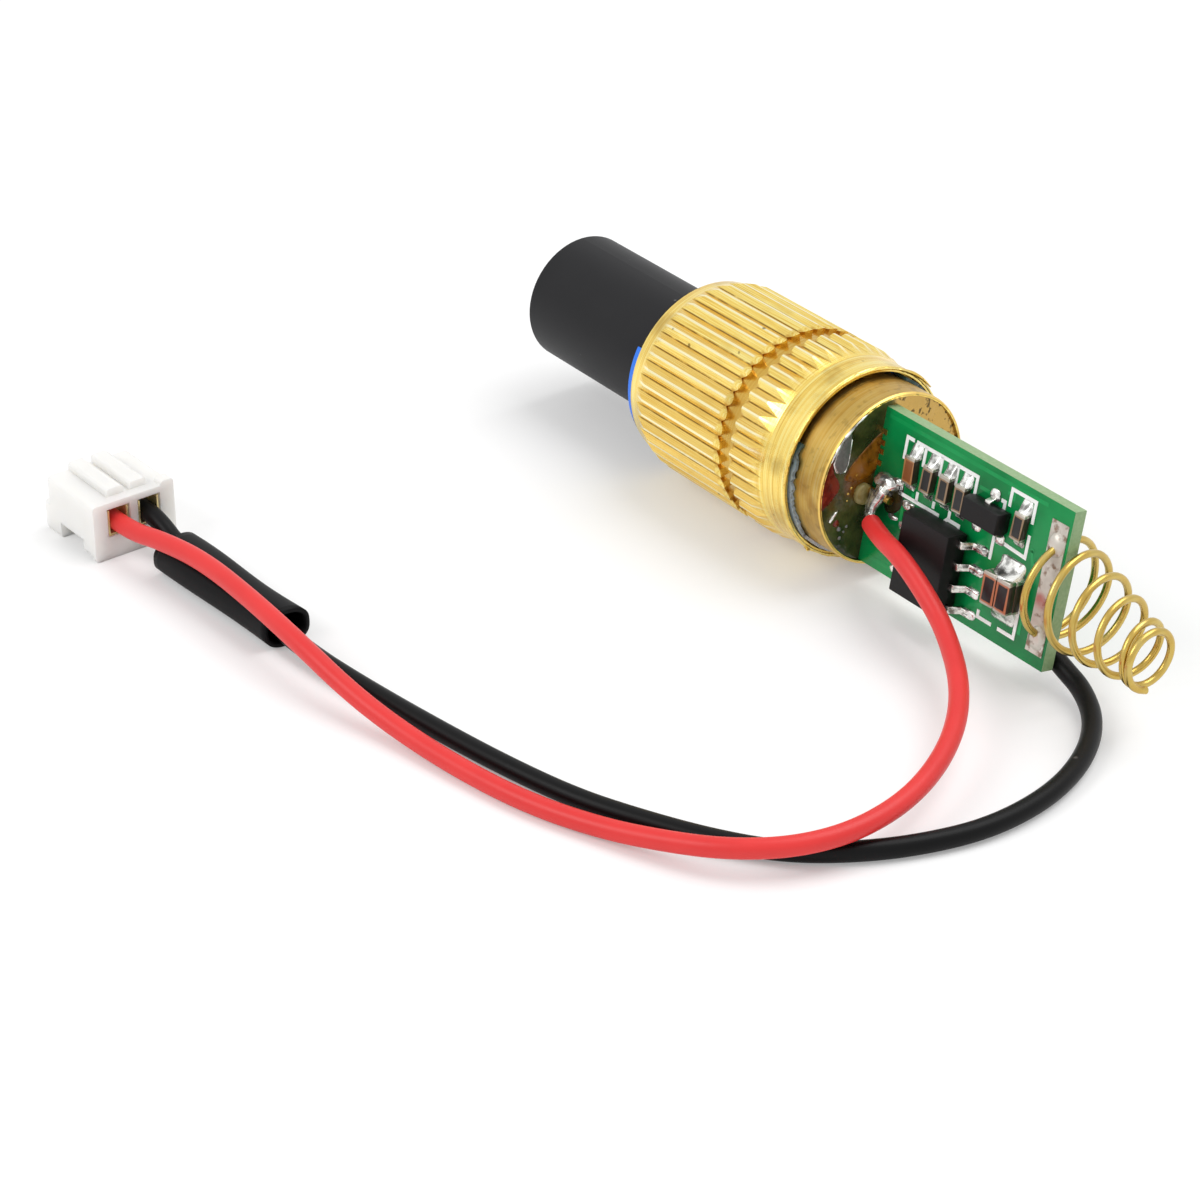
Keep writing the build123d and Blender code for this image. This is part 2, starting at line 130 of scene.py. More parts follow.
def new_finish(name, **constants):
    """A material with one Principled shader whose constant sockets are set directly."""
    finish = bpy.data.materials.new(name)
    finish.use_nodes = True
    shader = finish.node_tree.nodes["Principled BSDF"]
    for socket, value in constants.items():
        shader.inputs[socket.replace("_", " ").title().replace("Ior", "IOR")].default_value = value
    return finish, finish.node_tree, shader.inputs


def paint(tree, surface, mask, under, over):
    """Colours a finish from one colour to another by a mask."""
    fill(tree, surface["Base Color"], mix_colours(tree, mask, under, over))


def spread_roughness(tree, surface, mask, low, high):
    """Spreads a finish's roughness from low to high by a mask."""
    spread = put(tree, "MapRange", {"Value": mask, "To Min": low, "To Max": high})
    fill(tree, surface["Roughness"], spread.outputs[0])


def roughen(tree, surface, height, depth, strength):
    """Feeds a height, in shares of depth in millimetres, to a finish's normal."""
    bump = put(tree, "Bump", {"Height": height, "Distance": depth * mm, "Strength": strength})
    fill(tree, surface["Normal"], bump.outputs["Normal"])


def coat(finish, *names):
    """Gives CAD nodes a finish."""
    for name in names:
        for slot in nodes[name].material_slots:
            slot.material = finish


# Fine grain of a moulded or blasted skin, with sparse specks of dust
fine_grain, given, results = new_group(
    "fine_grain", {"Grain Scale": 14000.0, "Speck Scale": 900.0}, {"Grain": "Float", "Speck": "Float"}
)
skin = object_place(fine_grain)
grain = cloudy(fine_grain, skin, given["Grain Scale"], 2.0)
fill(fine_grain, results["Grain"], grain)
dots = put(fine_grain, "TexVoronoi", {"Vector": skin, "Scale": given["Speck Scale"]})
spread = put(fine_grain, "SeparateColor", {"Color": dots.outputs["Color"]}).outputs[0]
near_dot = below(fine_grain, dots.outputs["Distance"], 0.03, 0.09)
some_dots = between(fine_grain, spread, 0.72, 0.80)
fill(fine_grain, results["Speck"], product(fine_grain, near_dot, some_dots))


def grained(name, scales, colours, rough, relief, dust=None, **constants):
    """A finish with grain and clouds; relief is a depth and a strength, dust is a scale, share and colour."""
    finish, tree, surface = new_finish(name, **constants)
    grain_scale, cloud_scale = scales
    grain = put(tree, "Group", {"Grain Scale": grain_scale}, node_tree=fine_grain)
    clouds = own_clouds(tree, cloud_scale)
    skin_colour = mix_colours(tree, clouds, *colours)
    if dust:
        speck_scale, share, dust_colour = dust
        grain.inputs["Speck Scale"].default_value = speck_scale
        dusty = product(tree, grain.outputs["Speck"], share)
        skin_colour = mix_colours(tree, dusty, skin_colour, dust_colour)
    fill(tree, surface["Base Color"], skin_colour)
    spread_roughness(tree, surface, clouds, *rough)
    roughen(tree, surface, grain.outputs["Grain"], *relief)
    return finish


black_anodised = grained(
    "black_anodised",
    scales=(16000.0, 260.0),
    colours=(linear(24, 24, 26), linear(34, 34, 36)),
    rough=(0.40, 0.52),
    relief=(0.004, 0.5),
    dust=(800.0, 0.35, linear(150, 150, 150)),
    specular_ior_level=0.18,
)
coat(black_anodised, "lens_barrel", "lens_retainer")

# Collimating lens: ground glass pressed against its seat by the threaded ring
# A thin coating tints its reflection blue-violet


def clouded(name, scale, colours, rough, **constants):
    """A finish whose colour and roughness follow one soft noise."""
    finish, tree, surface = new_finish(name, **constants)
    clouds = own_clouds(tree, scale)
    paint(tree, surface, clouds, *colours)
    spread_roughness(tree, surface, clouds, *rough)
    return finish


lens_colours = (linear(214, 224, 246), linear(226, 236, 250))
lens_glass = clouded(
    "lens_glass", 350.0, lens_colours, (0.0, 0.03), transmission_weight=1.0, ior=1.52, coat_weight=0.4
)
coat(lens_glass, "collimating_lens", "diode_window")

# Knurled sleeve: free-cutting brass, turned, knurled and grooved, then pressed over the wrapped body
# Cutting left lengthwise streaks on the ridges, turning marks on the land and burrs at the rear lip
ridge_count = 40
sleeve_front, sleeve_rear = (corner.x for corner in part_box("knurled_sleeve"))
groove_front = sleeve_front + 8.45 * mm
groove_rear = sleeve_front + 9.95 * mm
knurl_front = sleeve_front + 0.85 * mm
knurl_rear = sleeve_rear - 1.75 * mm

# Place round the module's axis: metres along it, metres out from it and turns round it from the top
module_axis, given, results = new_group(
    "module_axis", {"Height": axis_height}, {"Along": "Float", "Radius": "Float", "Turn": "Float"}
)
split = put(module_axis, "SeparateXYZ", {"Vector": object_place(module_axis)})
rise = calc(module_axis, "SUBTRACT", split.outputs["Z"], given["Height"])
side = split.outputs["Y"]
rise_square = calc(module_axis, "POWER", rise, 2.0)
squares = calc(module_axis, "ADD", rise_square, calc(module_axis, "POWER", side, 2.0))
fill(module_axis, results["Along"], split.outputs["X"])
fill(module_axis, results["Radius"], calc(module_axis, "SQRT", squares))
turn = calc(module_axis, "DIVIDE", calc(module_axis, "ARCTAN2", side, rise), 2 * math.pi)
fill(module_axis, results["Turn"], turn)

# Brass that has been cut: streaks along the Streak vector's slow directions, tarnish in soft patches
cut_brass, given, results = new_group(
    "cut_brass",
    {"Streak": (0.0, 0.0, 0.0), "Tarnish": 0.3},
    {"Color": "Color", "Roughness": "Float", "Height": "Float"},
)
streak = cloudy(cut_brass, given["Streak"], 1.0, 4.0)
patch = own_clouds(cut_brass, 420.0, 4.0)
tone = put(cut_brass, "ValToRGB", {"Fac": streak})
tone.color_ramp.elements[0].position = 0.30
tone.color_ramp.elements[0].color = linear(228, 186, 84)
tone.color_ramp.elements[1].position = 0.68
tone.color_ramp.elements[1].color = linear(255, 240, 158)
middle_tone = tone.color_ramp.elements.new(0.48)
middle_tone.color = linear(250, 218, 116)
stain = product(cut_brass, between(cut_brass, patch, 0.48, 0.74), given["Tarnish"])
fill(cut_brass, results["Color"], mix_colours(cut_brass, stain, tone.outputs["Color"], linear(128, 88, 30)))
sheen = calc(cut_brass, "ADD", product(cut_brass, patch, 0.22), product(cut_brass, streak, 0.10))
fill(cut_brass, results["Roughness"], calc(cut_brass, "ADD", sheen, 0.10))
fill(cut_brass, results["Height"], streak)


def brass(tree, streak, tarnish):
    return put(tree, "Group", {"Streak": streak, "Tarnish": tarnish}, node_tree=cut_brass).outputs


def stretched(tree, axis, along, round_axis, outward):
    """A noise place with its features per metre along the axis, per turn round it and per metre outward."""
    parts = {
        "X": product(tree, axis["Along"], along),
        "Y": product(tree, axis["Turn"], round_axis),
        "Z": product(tree, axis["Radius"], outward),
    }
    return put(tree, "CombineXYZ", parts).outputs[0]


sleeve_brass, tree, surface = new_finish("sleeve_brass", metallic=1.0)
axis = put(tree, "Group", node_tree=module_axis).outputs
along = axis["Along"]
phase = calc(tree, "FRACT", product(tree, axis["Turn"], ridge_count))
valley = product(tree, calc(tree, "ABSOLUTE", calc(tree, "SUBTRACT", phase, 0.5)), 2.0)
past_front = between(tree, along, knurl_front, knurl_front + 0.6 * mm)
before_rear = below(tree, along, knurl_rear - 1.3 * mm, knurl_rear)
after_groove = between(tree, along, groove_rear - 0.1 * mm, groove_rear)
before_groove = below(tree, along, groove_front - 0.1 * mm, groove_front + 0.1 * mm)
off_groove = calc(tree, "MAXIMUM", after_groove, before_groove)
knurled = product(tree, past_front, before_rear, off_groove)
drawn = stretched(tree, axis, 260.0, 800.0, 9000.0)
turned = stretched(tree, axis, 9000.0, 5.0, 9000.0)
lengthwise = brass(tree, drawn, 0.18)
ringwise = brass(tree, turned, 0.42)
metal = mix_colours(tree, knurled, ringwise["Color"], lengthwise["Color"])
# Painted shade: the upper flank of each knurl ridge is coloured a darker tan
shaded_upper_flank = product(tree, between(tree, phase, 0.52, 0.60), knurled)
metal = mix_colours(tree, product(tree, shaded_upper_flank, 0.45), metal, linear(228, 180, 88))
# Painted shade: a thin dark brown line along the bottom of each knurl valley, broken up by soft noise
valley_shade = product(tree, between(tree, valley, 0.84, 0.99), knurled)
valley_shade_break = between(tree, own_clouds(tree, 900.0), 0.18, 0.52)
valley_shaded = product(tree, valley_shade, valley_shade_break, 0.92)
metal = mix_colours(tree, valley_shaded, metal, linear(112, 74, 16))
# Painted highlight: a near-white line along each knurl crest
crest_highlight = product(tree, below(tree, valley, 0.08, 0.22), knurled)
metal = mix_colours(tree, product(tree, crest_highlight, 0.9), metal, linear(255, 248, 206))
in_groove = below(tree, axis["Radius"], 5.80 * mm, 5.90 * mm)
groove_zone = product(tree, between(tree, along, groove_front - 0.2 * mm, groove_front), in_groove)
not_lip = below(tree, along, groove_rear, groove_rear + 0.2 * mm)
groove_shade = product(tree, groove_zone, not_lip, 0.7)
metal = mix_colours(tree, groove_shade, metal, linear(198, 152, 66))
nicks = put(tree, "TexVoronoi", {"Vector": object_place(tree), "Scale": 1500.0})
nick_pick = put(tree, "SeparateColor", {"Color": nicks.outputs["Color"]}).outputs[1]
nick_near = below(tree, nicks.outputs["Distance"], 0.10, 0.24)
nick = product(tree, nick_near, between(tree, nick_pick, 0.90, 0.93))
paint(tree, surface, product(tree, nick, 0.7), metal, linear(84, 54, 14))
fill(tree, surface["Roughness"], lengthwise["Roughness"])
streak_heights = {0: knurled, 2: ringwise["Height"], 3: lengthwise["Height"]}
streaks = put(tree, "Mix", streak_heights, data_type="FLOAT").outputs[0]
pitted = calc(tree, "SUBTRACT", streaks, nick)
roughen(tree, surface, pitted, 0.005, 0.6)
coat(sleeve_brass, "knurled_sleeve")


def add_object(name, content):
    added = bpy.data.objects.new(name, content)
    bpy.context.scene.collection.objects.link(added)
    return added


def add_piece(name, shape, slot):
    """An object that rides on the module; its slot is not used."""
    piece = add_object(name, shape)
    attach(piece, "root")
    return piece


def new_piece(name, points, faces, finish, slot, smooth=True):
    """A mesh piece with even normals."""
    mesh = bpy.data.meshes.new(name)
    mesh.from_pydata([tuple(point) for point in points], [], faces)
    skin = bmesh.new()
    skin.from_mesh(mesh)
    bmesh.ops.recalc_face_normals(skin, faces=skin.faces)
    skin.to_mesh(mesh)
    skin.free()
    mesh.polygons.foreach_set("use_smooth", [smooth] * len(mesh.polygons))
    mesh.materials.append(finish)
    mesh.validate()
    return add_piece(name, mesh, slot)


def loft(rings, ends="caps"):
    """Points and faces of a skin over rings of equally many points; its ends are capped or joined."""
    size = len(rings[0])
    points = [point for ring in rings for point in ring]
    faces = []
    spans = len(rings) if ends == "joined" else len(rings) - 1
    for row in range(spans):
        here = row * size
        there = (row + 1) % len(rings) * size
        for k in range(size):
            after = (k + 1) % size
            faces.append((here + k, here + after, there + after, there + k))
    if ends == "caps":
        faces.append(tuple(reversed(range(size))))
        faces.append(tuple(range(len(points) - size, len(points))))
    return points, faces


def axis_point(along, radius, angle):
    """A point round the module's axis; angle is in radians from the top towards +Y."""
    return Vector((along, radius * math.sin(angle), axis_height + radius * math.cos(angle)))


def uneven(seed, place, amount):
    """A repeatable offset in millimetres from smooth noise along a number."""
    return amount * mm * noise.noise(Vector((place, seed * 7.3, seed * 1.9)))


def rings_of(rows, count, place):
    """Rows of points, each from a function of its row and of the angle round the ring."""
    angles = [2 * math.pi * k / count for k in range(count)]
    return [[place(row, angle) for angle in angles] for row in range(rows)]


def burr_ring(name, along, radius, thin, ragged, seed, finish, slot):
    """A ragged thread of metal pushed up round a turned edge; sizes are in millimetres."""
    steps = 200

    def place(step, around):
        angle = 2 * math.pi * step / steps
        wander = uneven(seed, angle * 9, ragged * 0.3)
        thick = thin * mm + abs(uneven(seed + 1, angle * 14, ragged))
        out = radius * mm + wander + thick * math.cos(around)
        return axis_point(along + thick * math.sin(around), out, angle)

    return new_piece(name, *loft(rings_of(steps, 8, place), "joined"), finish, slot)


def bead(path, radii, count=12):
    """A round bead along a path of points, with a radius in millimetres at each."""
    rings = []
    for k, (here, radius) in enumerate(zip(path, radii)):
        run = (path[min(k + 1, len(path) - 1)] - path[max(k - 1, 0)]).normalized()
        side = run.cross(Vector((0.2, 0.9, 0.4))).normalized()
        lift = run.cross(side)
        ring = []
        for corner in range(count):
            angle = 2 * math.pi * corner / count
            ring.append(here + (side * math.cos(angle) + lift * math.sin(angle)) * (radius * mm))
        rings.append(ring)
    return loft(rings)


# A burr stands round the rear lip; on the far side it has been pushed out into a hook
burr_ring("sleeve_lip_burr", sleeve_rear - 0.02 * mm, 5.64, 0.07, 0.10, 1, sleeve_brass, "turned_brass")
hook_start = math.radians(24)
hook_end = math.radians(53)
hook_radius = 5.65 * mm
hook_lift = 0.10 * mm
hook_drop = 0.14 * mm
hook_steps = 14


def hook_point(step, around):
    share = step / hook_steps
    angle = hook_start + (hook_end - hook_start) * share
    lift = hook_lift * math.sin(share * math.pi * 0.5)
    half = (0.10 + 0.16 * math.sin(share * math.pi) ** 2) * mm
    out = hook_radius + lift + 0.45 * half * math.cos(around)
    return axis_point(sleeve_rear + hook_drop * share**2 + half * math.sin(around), out, angle)


hook_rings = rings_of(hook_steps + 1, 10, hook_point)
new_piece("sleeve_hook_burr", *loft(hook_rings), sleeve_brass, "turned_brass")

# A flake of brass hangs from the lip near the table
flake_angle = math.radians(-137)
flake_path = [
    axis_point(sleeve_rear - 0.15 * mm, 5.66 * mm, flake_angle),
    axis_point(sleeve_rear + 0.05 * mm, 5.76 * mm, flake_angle - 0.02),
    axis_point(sleeve_rear + 0.26 * mm, 5.84 * mm, flake_angle + 0.03),
]
new_piece("sleeve_flake", *bead(flake_path, [0.14, 0.12, 0.04], 8), sleeve_brass, "turned_brass")

# Film: thin blue plastic wrapped round the brass body to make the sleeve a tight fit
# Its front edge is cut clean; behind the sleeve it is torn, greyed and dirty
film_low, film_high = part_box("film_wrap")
film_tuck = sleeve_rear - 0.2 * mm
film_inner = 5.18 * mm
film_outer = 5.35 * mm
film_start = math.radians(-60)
film_sweep = math.radians(-270)
film_front = film_low.x + 0.01 * mm
tear_depth = 0.16 * mm
film_steps = 150
film_rings = []
for step in range(film_steps + 1):
    share = step / film_steps
    angle = film_start + film_sweep * share
    torn = tear_depth + uneven(3, share * 46, 0.26) + uneven(4, share * 130, 0.14)
    rear = film_high.x - max(torn, 0.0)
    curl = max(uneven(5, share * 30, 0.16), 0.0)
    film_rings.append(
        [
            axis_point(film_front, film_inner, angle),
            axis_point(film_front, film_outer, angle),
            axis_point(film_tuck, film_outer, angle),
            axis_point(rear, film_outer + curl, angle),
            axis_point(rear, film_inner + curl * 0.6, angle),
            axis_point(film_tuck, film_inner, angle),
        ]
    )

film_finish, tree, surface = new_finish("blue_film", specular_ior_level=0.5)
axis = put(tree, "Group", node_tree=module_axis).outputs
height = put(tree, "SeparateXYZ", {"Vector": object_place(tree)}).outputs["Z"]
smear = own_clouds(tree, 1600.0, 4.0)
level = calc(tree, "ADD", height, product(tree, calc(tree, "SUBTRACT", smear, 0.5), 2.5 * mm))
above_grey = between(tree, level, 3.6 * mm, 5.2 * mm)
front_colour = mix_colours(tree, above_grey, linear(104, 118, 138), linear(36, 122, 244))
above_pale = between(tree, level, 1.0 * mm, 4.2 * mm)
lower = mix_colours(tree, above_pale, linear(206, 208, 216), linear(150, 166, 178))
rear_colour = mix_colours(tree, between(tree, level, 6.0 * mm, 9.0 * mm), lower, linear(44, 74, 76))
dirt = between(tree, own_clouds(tree, 3400.0, 4.0), 0.56, 0.66)
rear_colour = mix_colours(tree, product(tree, dirt, 0.75), rear_colour, linear(38, 38, 34))
at_rear = between(tree, axis["Along"], sleeve_rear - 1.0 * mm, sleeve_rear - 0.6 * mm)
paint(tree, surface, at_rear, front_colour, rear_colour)
spread_roughness(tree, surface, smear, 0.22, 0.45)
roughen(tree, surface, smear, 0.03, 0.6)
film_piece = new_piece("torn_film", *loft(film_rings), film_finish, "blue_film", smooth=False)
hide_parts("film_wrap")

# Brass body: a turned tube that carries the barrel in front and the diode behind
# Its rear collar shows turning marks, a painted highlight along its rim and dark specks of flux
collar_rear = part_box("brass_body")[1].x
collar_brass, tree, surface = new_finish("collar_brass", metallic=1.0)
axis = put(tree, "Group", node_tree=module_axis).outputs
marks = stretched(tree, axis, 11000.0, 6.0, 5000.0)
turned_metal = brass(tree, marks, 0.75)
dull = mix_colours(tree, 0.58, turned_metal["Color"], linear(146, 100, 46))
splash = own_clouds(tree, 2100.0, 5.0)
on_face = between(tree, axis["Along"], collar_rear - 0.16 * mm, collar_rear - 0.05 * mm)
spots = product(tree, between(tree, splash, 0.57, 0.66), 0.8)
flecks = product(tree, spots, calc(tree, "ADD", product(tree, on_face, 0.7), 0.26))
dull = mix_colours(tree, flecks, dull, linear(46, 40, 24))
# Painted highlight: a pale band at the outer edge of the collar's rear face
past_edge = between(tree, axis["Along"], collar_rear - 0.14 * mm, collar_rear - 0.08 * mm)
outer = between(tree, axis["Radius"], 5.02 * mm, 5.10 * mm)
rim_highlight = product(tree, past_edge, outer, 0.8)
paint(tree, surface, rim_highlight, dull, linear(250, 214, 120))
fill(tree, surface["Roughness"], calc(tree, "ADD", turned_metal["Roughness"], 0.10))
roughen(tree, surface, turned_metal["Height"], 0.022, 0.8)
coat(collar_brass, "brass_body")
burr_ring("collar_rim_burr", collar_rear - 0.02 * mm, 5.00, 0.02, 0.07, 7, sleeve_brass, "dull_brass")

# Laser diode: gold-plated stem and pins, a nickel cap with a glass window
# It sits inside the brass body, and only one pin shows, beside the red lead's solder
gold_colours = (linear(196, 154, 66), linear(232, 196, 108))
gold_plate = clouded("gold_plate", 1200.0, gold_colours, (0.2, 0.36), metallic=1.0)
coat(gold_plate, "diode_stem", "diode_pin_1", "diode_pin_2", "diode_pin_3")
nickel_colours = (linear(176, 172, 162), linear(208, 204, 194))
coat(clouded("nickel_cap", 900.0, nickel_colours, (0.18, 0.30), metallic=1.0), "diode_cap")

# Resin: a pool of glossy epoxy poured over the back of the diode
# Olive and brown in depth on the near side, amber against the board, rust-red by the rim
# On the far side it is a thin skin that lets the spotted brass show
resin_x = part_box("resin_fill")[1].x / mm
resin_finish, tree, surface = new_finish(
    "epoxy_resin", specular_ior_level=0.4, coat_weight=0.2, coat_roughness=0.05
)
place = object_place(tree)
depth = cloudy(tree, place, 620.0, 4.0)
pool = mix_colours(tree, between(tree, depth, 0.36, 0.62), linear(46, 46, 18), linear(84, 84, 40))


def scaled(tree, place, factor):
    return put(tree, "VectorMath", {0: place, "Scale": factor}, operation="SCALE").outputs[0]


def patch_mask(tree, place, centre, inner, outer, ragged):
    """A ragged round patch about a point given in millimetres."""
    wobble = put(tree, "TexNoise", {"Vector": place, "Scale": 700.0, "Detail": 3.0}).outputs["Color"]
    shaken = scaled(tree, wobble, ragged * mm)
    moved = put(tree, "VectorMath", {0: place, 1: shaken}, operation="ADD").outputs[0]
    middle = [(value + ragged / 2) * mm for value in centre]
    gap = put(tree, "VectorMath", {0: moved, 1: middle}, operation="DISTANCE").outputs["Value"]
    return below(tree, gap, inner * mm, outer * mm)


glow = patch_mask(tree, place, (resin_x, -2.3, 6.5), 0.5, 1.3, 0.8)
pool = mix_colours(tree, glow, pool, linear(116, 72, 16))
far_side = between(tree, put(tree, "SeparateXYZ", {"Vector": place}).outputs["Y"], -0.2 * mm, 0.4 * mm)
speckle = product(tree, between(tree, cloudy(tree, place, 3400.0, 5.0), 0.54, 0.64), 0.85)
spotted = mix_colours(tree, speckle, linear(198, 160, 84), linear(58, 44, 20))
paint(tree, surface, far_side, pool, spotted)
fill(tree, surface["Metallic"], product(tree, far_side, 0.85))
spread_roughness(tree, surface, depth, 0.08, 0.30)
roughen(tree, surface, depth, 0.25, 0.8)
coat(resin_finish, "resin_fill")


def on_resin(across, up, rise):
    """A point on the resin: millimetres across the module, above the table and out of the pool."""
    return Vector((resin_x + rise, across, up)) * mm


def resin_lump(across, up, radius, height, seed):
    """A lump standing on the resin."""
    rows = 6

    def place(row, angle):
        climb = 0.5 * math.pi * row / rows
        lump = 1 + 0.30 * noise.noise(Vector((seed * 4.1 + math.cos(angle), math.sin(angle), climb)))
        reach = radius * math.cos(climb) * lump
        tall = height * math.sin(climb) * lump - 0.02
        return on_resin(across + reach * math.cos(angle), up + reach * math.sin(angle), tall)

    return loft(rings_of(rows, 20, place))


def joined(parts):
    """One mesh from several lofts."""
    points = []
    faces = []
    for part_points, part_faces in parts:
        faces += [tuple(len(points) + k for k in face) for face in part_faces]
        points += part_points
    return points, faces


def set_pool(name, outline, height, finish, slot, place=on_resin):
    """A flat pool with a rounded rim inside an outline of points in millimetres."""
    count = len(outline)
    edge = []
    for k in range(count):
        before, here, after, beyond = (Vector(outline[(k + step) % count]) for step in (-1, 0, 1, 2))
        for share in (0.0, 0.25, 0.5, 0.75):
            bend = (2 * before - 5 * here + 4 * after - beyond) * share**2
            bend += (3 * here - before - 3 * after + beyond) * share**3
            edge.append(here + 0.5 * ((after - before) * share + bend))
    middle = sum(edge, Vector((0.0, 0.0))) / len(edge)
    rings = []
    for spread, rise in ((1.0, -0.03), (1.0, 0.3 * height), (0.95, 0.8 * height), (0.86, height)):
        flat = [middle.lerp(point, spread) for point in edge]
        rings.append([place(point.x, point.y, rise) for point in flat])
    return new_piece(name, *loft(rings), finish, slot)


def set_resin(name, dark, light):
    """A glossy set resin with soft clouds of colour in it."""
    finish, tree, surface = new_finish(name, specular_ior_level=0.3, coat_weight=0.2, coat_roughness=0.06)
    cloud = own_clouds(tree, 1500.0, 4.0)
    paint(tree, surface, between(tree, cloud, 0.35, 0.65), dark, light)
    spread_roughness(tree, surface, cloud, 0.15, 0.4)
    roughen(tree, surface, cloud, 0.05, 0.6)
    return finish


# Amber resin stands against the board, a red patch lies at the rim and an olive bead holds the pin
amber_outline = [(-0.55, 9.10), (-2.22, 8.11), (-3.31, 7.02), (-2.43, 6.56), (-1.05, 6.74), (-0.82, 7.90)]
red_outline = [(-4.15, 8.40), (-4.66, 7.40), (-4.82, 6.20), (-4.75, 5.45), (-3.60, 6.46), (-4.05, 7.60)]
pin_outline = [(-2.56, 5.86), (-2.30, 6.22), (-1.80, 6.28), (-1.36, 5.86)]
pin_outline += [(-1.42, 5.24), (-1.92, 5.00), (-2.44, 5.26)]
amber_resin = set_resin("amber_resin", linear(88, 48, 4), linear(156, 98, 18))
red_lacquer = set_resin("red_lacquer", linear(92, 26, 14), linear(132, 46, 26))
olive_resin = set_resin("olive_resin", linear(132, 118, 66), linear(160, 146, 92))
set_pool("amber_pool", amber_outline, 0.06, amber_resin, "resin")
set_pool("red_patch", red_outline, 0.04, red_lacquer, "resin")
set_pool("pin_bead", pin_outline, 0.30, olive_resin, "resin")

# Crumbs that have set in the pool: one red, and flecks of the plating round the bead
new_piece("red_crumb", *resin_lump(-3.78, 4.30, 0.22, 0.14, 2), red_lacquer, "resin")
fleck_places = [(-2.75, 6.21, 0.09), (-2.97, 5.92, 0.08), (-3.02, 5.50, 0.06)]
fleck_places += [(-2.45, 6.94, 0.10), (-2.95, 6.97, 0.07)]
flecks = [resin_lump(y, z, radius, radius, 6 + k) for k, (y, z, radius) in enumerate(fleck_places)]
new_piece("plating_flecks", *joined(flecks), gold_plate, "plated")

# Circuit board: glass-fibre laminate under a glossy green mask, cut from a panel
# The cut edges show the pale laminate; it stands on edge, rolled a few degrees
# What is printed or soldered on it sinks a hair into its face
board_roll = math.radians(10.3)
board_thick = 0.81 * mm
sunk = -0.01
board_low, board_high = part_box("circuit_board")
face_dir = Vector((0, -math.cos(board_roll), math.sin(board_roll)))
up_dir = Vector((0, math.sin(board_roll), math.cos(board_roll)))
board_centre = (board_low + board_high) / 2
board_corner = Vector((board_low.x, board_centre.y, board_centre.z)) + face_dir * board_thick / 2


def board_point(x, v, h=0.0):
    """Millimetres along the board from its front end, across it from its middle and out from its face."""
    return board_corner + Vector((x * mm, 0, 0)) + up_dir * (v * mm) + face_dir * (h * mm)


def facing(tree, direction):
    """How far the surface faces along a fixed direction, from -1 to 1."""
    normal = put(tree, "NewGeometry").outputs["True Normal"]
    return put(tree, "VectorMath", {0: normal, 1: direction}, operation="DOT_PRODUCT").outputs["Value"]


mask_gloss = {"specular_ior_level": 0.30, "coat_weight": 0.15, "coat_roughness": 0.12}
green_mask, tree, surface = new_finish("green_mask", **mask_gloss)
place = object_place(tree)
mask_tone = cloudy(tree, place, 240.0)
mask_green = mix_colours(tree, between(tree, mask_tone, 0.35, 0.65), linear(0, 112, 56), linear(8, 146, 76))
fibre = cloudy(tree, place, 5200.0)
laminate = mix_colours(tree, fibre, linear(118, 156, 108), linear(164, 186, 142))
flat_face = between(tree, calc(tree, "ABSOLUTE", facing(tree, face_dir)), 0.70, 0.80)
paint(tree, surface, flat_face, laminate, mask_green)
spread_roughness(tree, surface, flat_face, 0.55, 0.20)
roughen(tree, surface, fibre, 0.012, 0.35)
coat(green_mask, "circuit_board")


def board_strip(path, width, top):
    """Rings of a flat strip along a path of board points, mitred at its corners."""
    rings = []
    for k, (x, v) in enumerate(path):
        before = Vector(path[max(k - 1, 0)])
        after = Vector(path[min(k + 1, len(path) - 1)])
        here = Vector((x, v))
        into = (here - before).normalized() if k > 0 else (after - here).normalized()
        out = (after - here).normalized() if k < len(path) - 1 else into
        lean = (into + out).normalized()
        normal = Vector((-lean.y, lean.x))
        half = width / 2 / max(normal.dot(Vector((-into.y, into.x))), 0.4)
        left = here + normal * half
        right = here - normal * half
        corners = [(left, sunk), (left, top), (right, top), (right, sunk)]
        rings.append([board_point(point.x, point.y, h) for point, h in corners])
    return rings


# Copper under the mask: raised traces that only show as paler green
trace_mask, tree, surface = new_finish("trace_mask", roughness=0.2, **mask_gloss)
paint(tree, surface, own_clouds(tree, 600.0), linear(8, 136, 70), linear(26, 168, 92))
trace_width = 0.22
trace_height = 0.012
trace_paths = [
    [(8.3, 3.15), (9.1, 3.15)],
    [(10.4, 3.05), (10.9, 3.5), (10.9, 3.9)],
    [(9.7, 0.3), (9.7, -0.4)],
    [(12.9, 1.4), (13.2, 0.6), (13.2, -3.4)],
    [(3.5, 0.75), (3.5, 0.2), (4.2, -0.2)],
    [(5.0, 0.75), (5.0, 0.5)],
    [(2.9, -0.3), (2.9, -1.2), (3.5, -1.6)],
    [(9.2, -3.4), (10.2, -3.0)],
    [(0.6, 4.2), (13.4, 4.2)],
    [(1.0, -4.1), (3.2, -4.1), (3.2, -2.6)],
    [(12.80, 1.40), (13.08, 1.40)],
    [(10.40, 3.70), (10.68, 3.70)],
]
trace_parts = [loft(board_strip(path, trace_width, trace_height)) for path in trace_paths]
new_piece("mask_traces", *joined(trace_parts), trace_mask, "board_green", smooth=False)

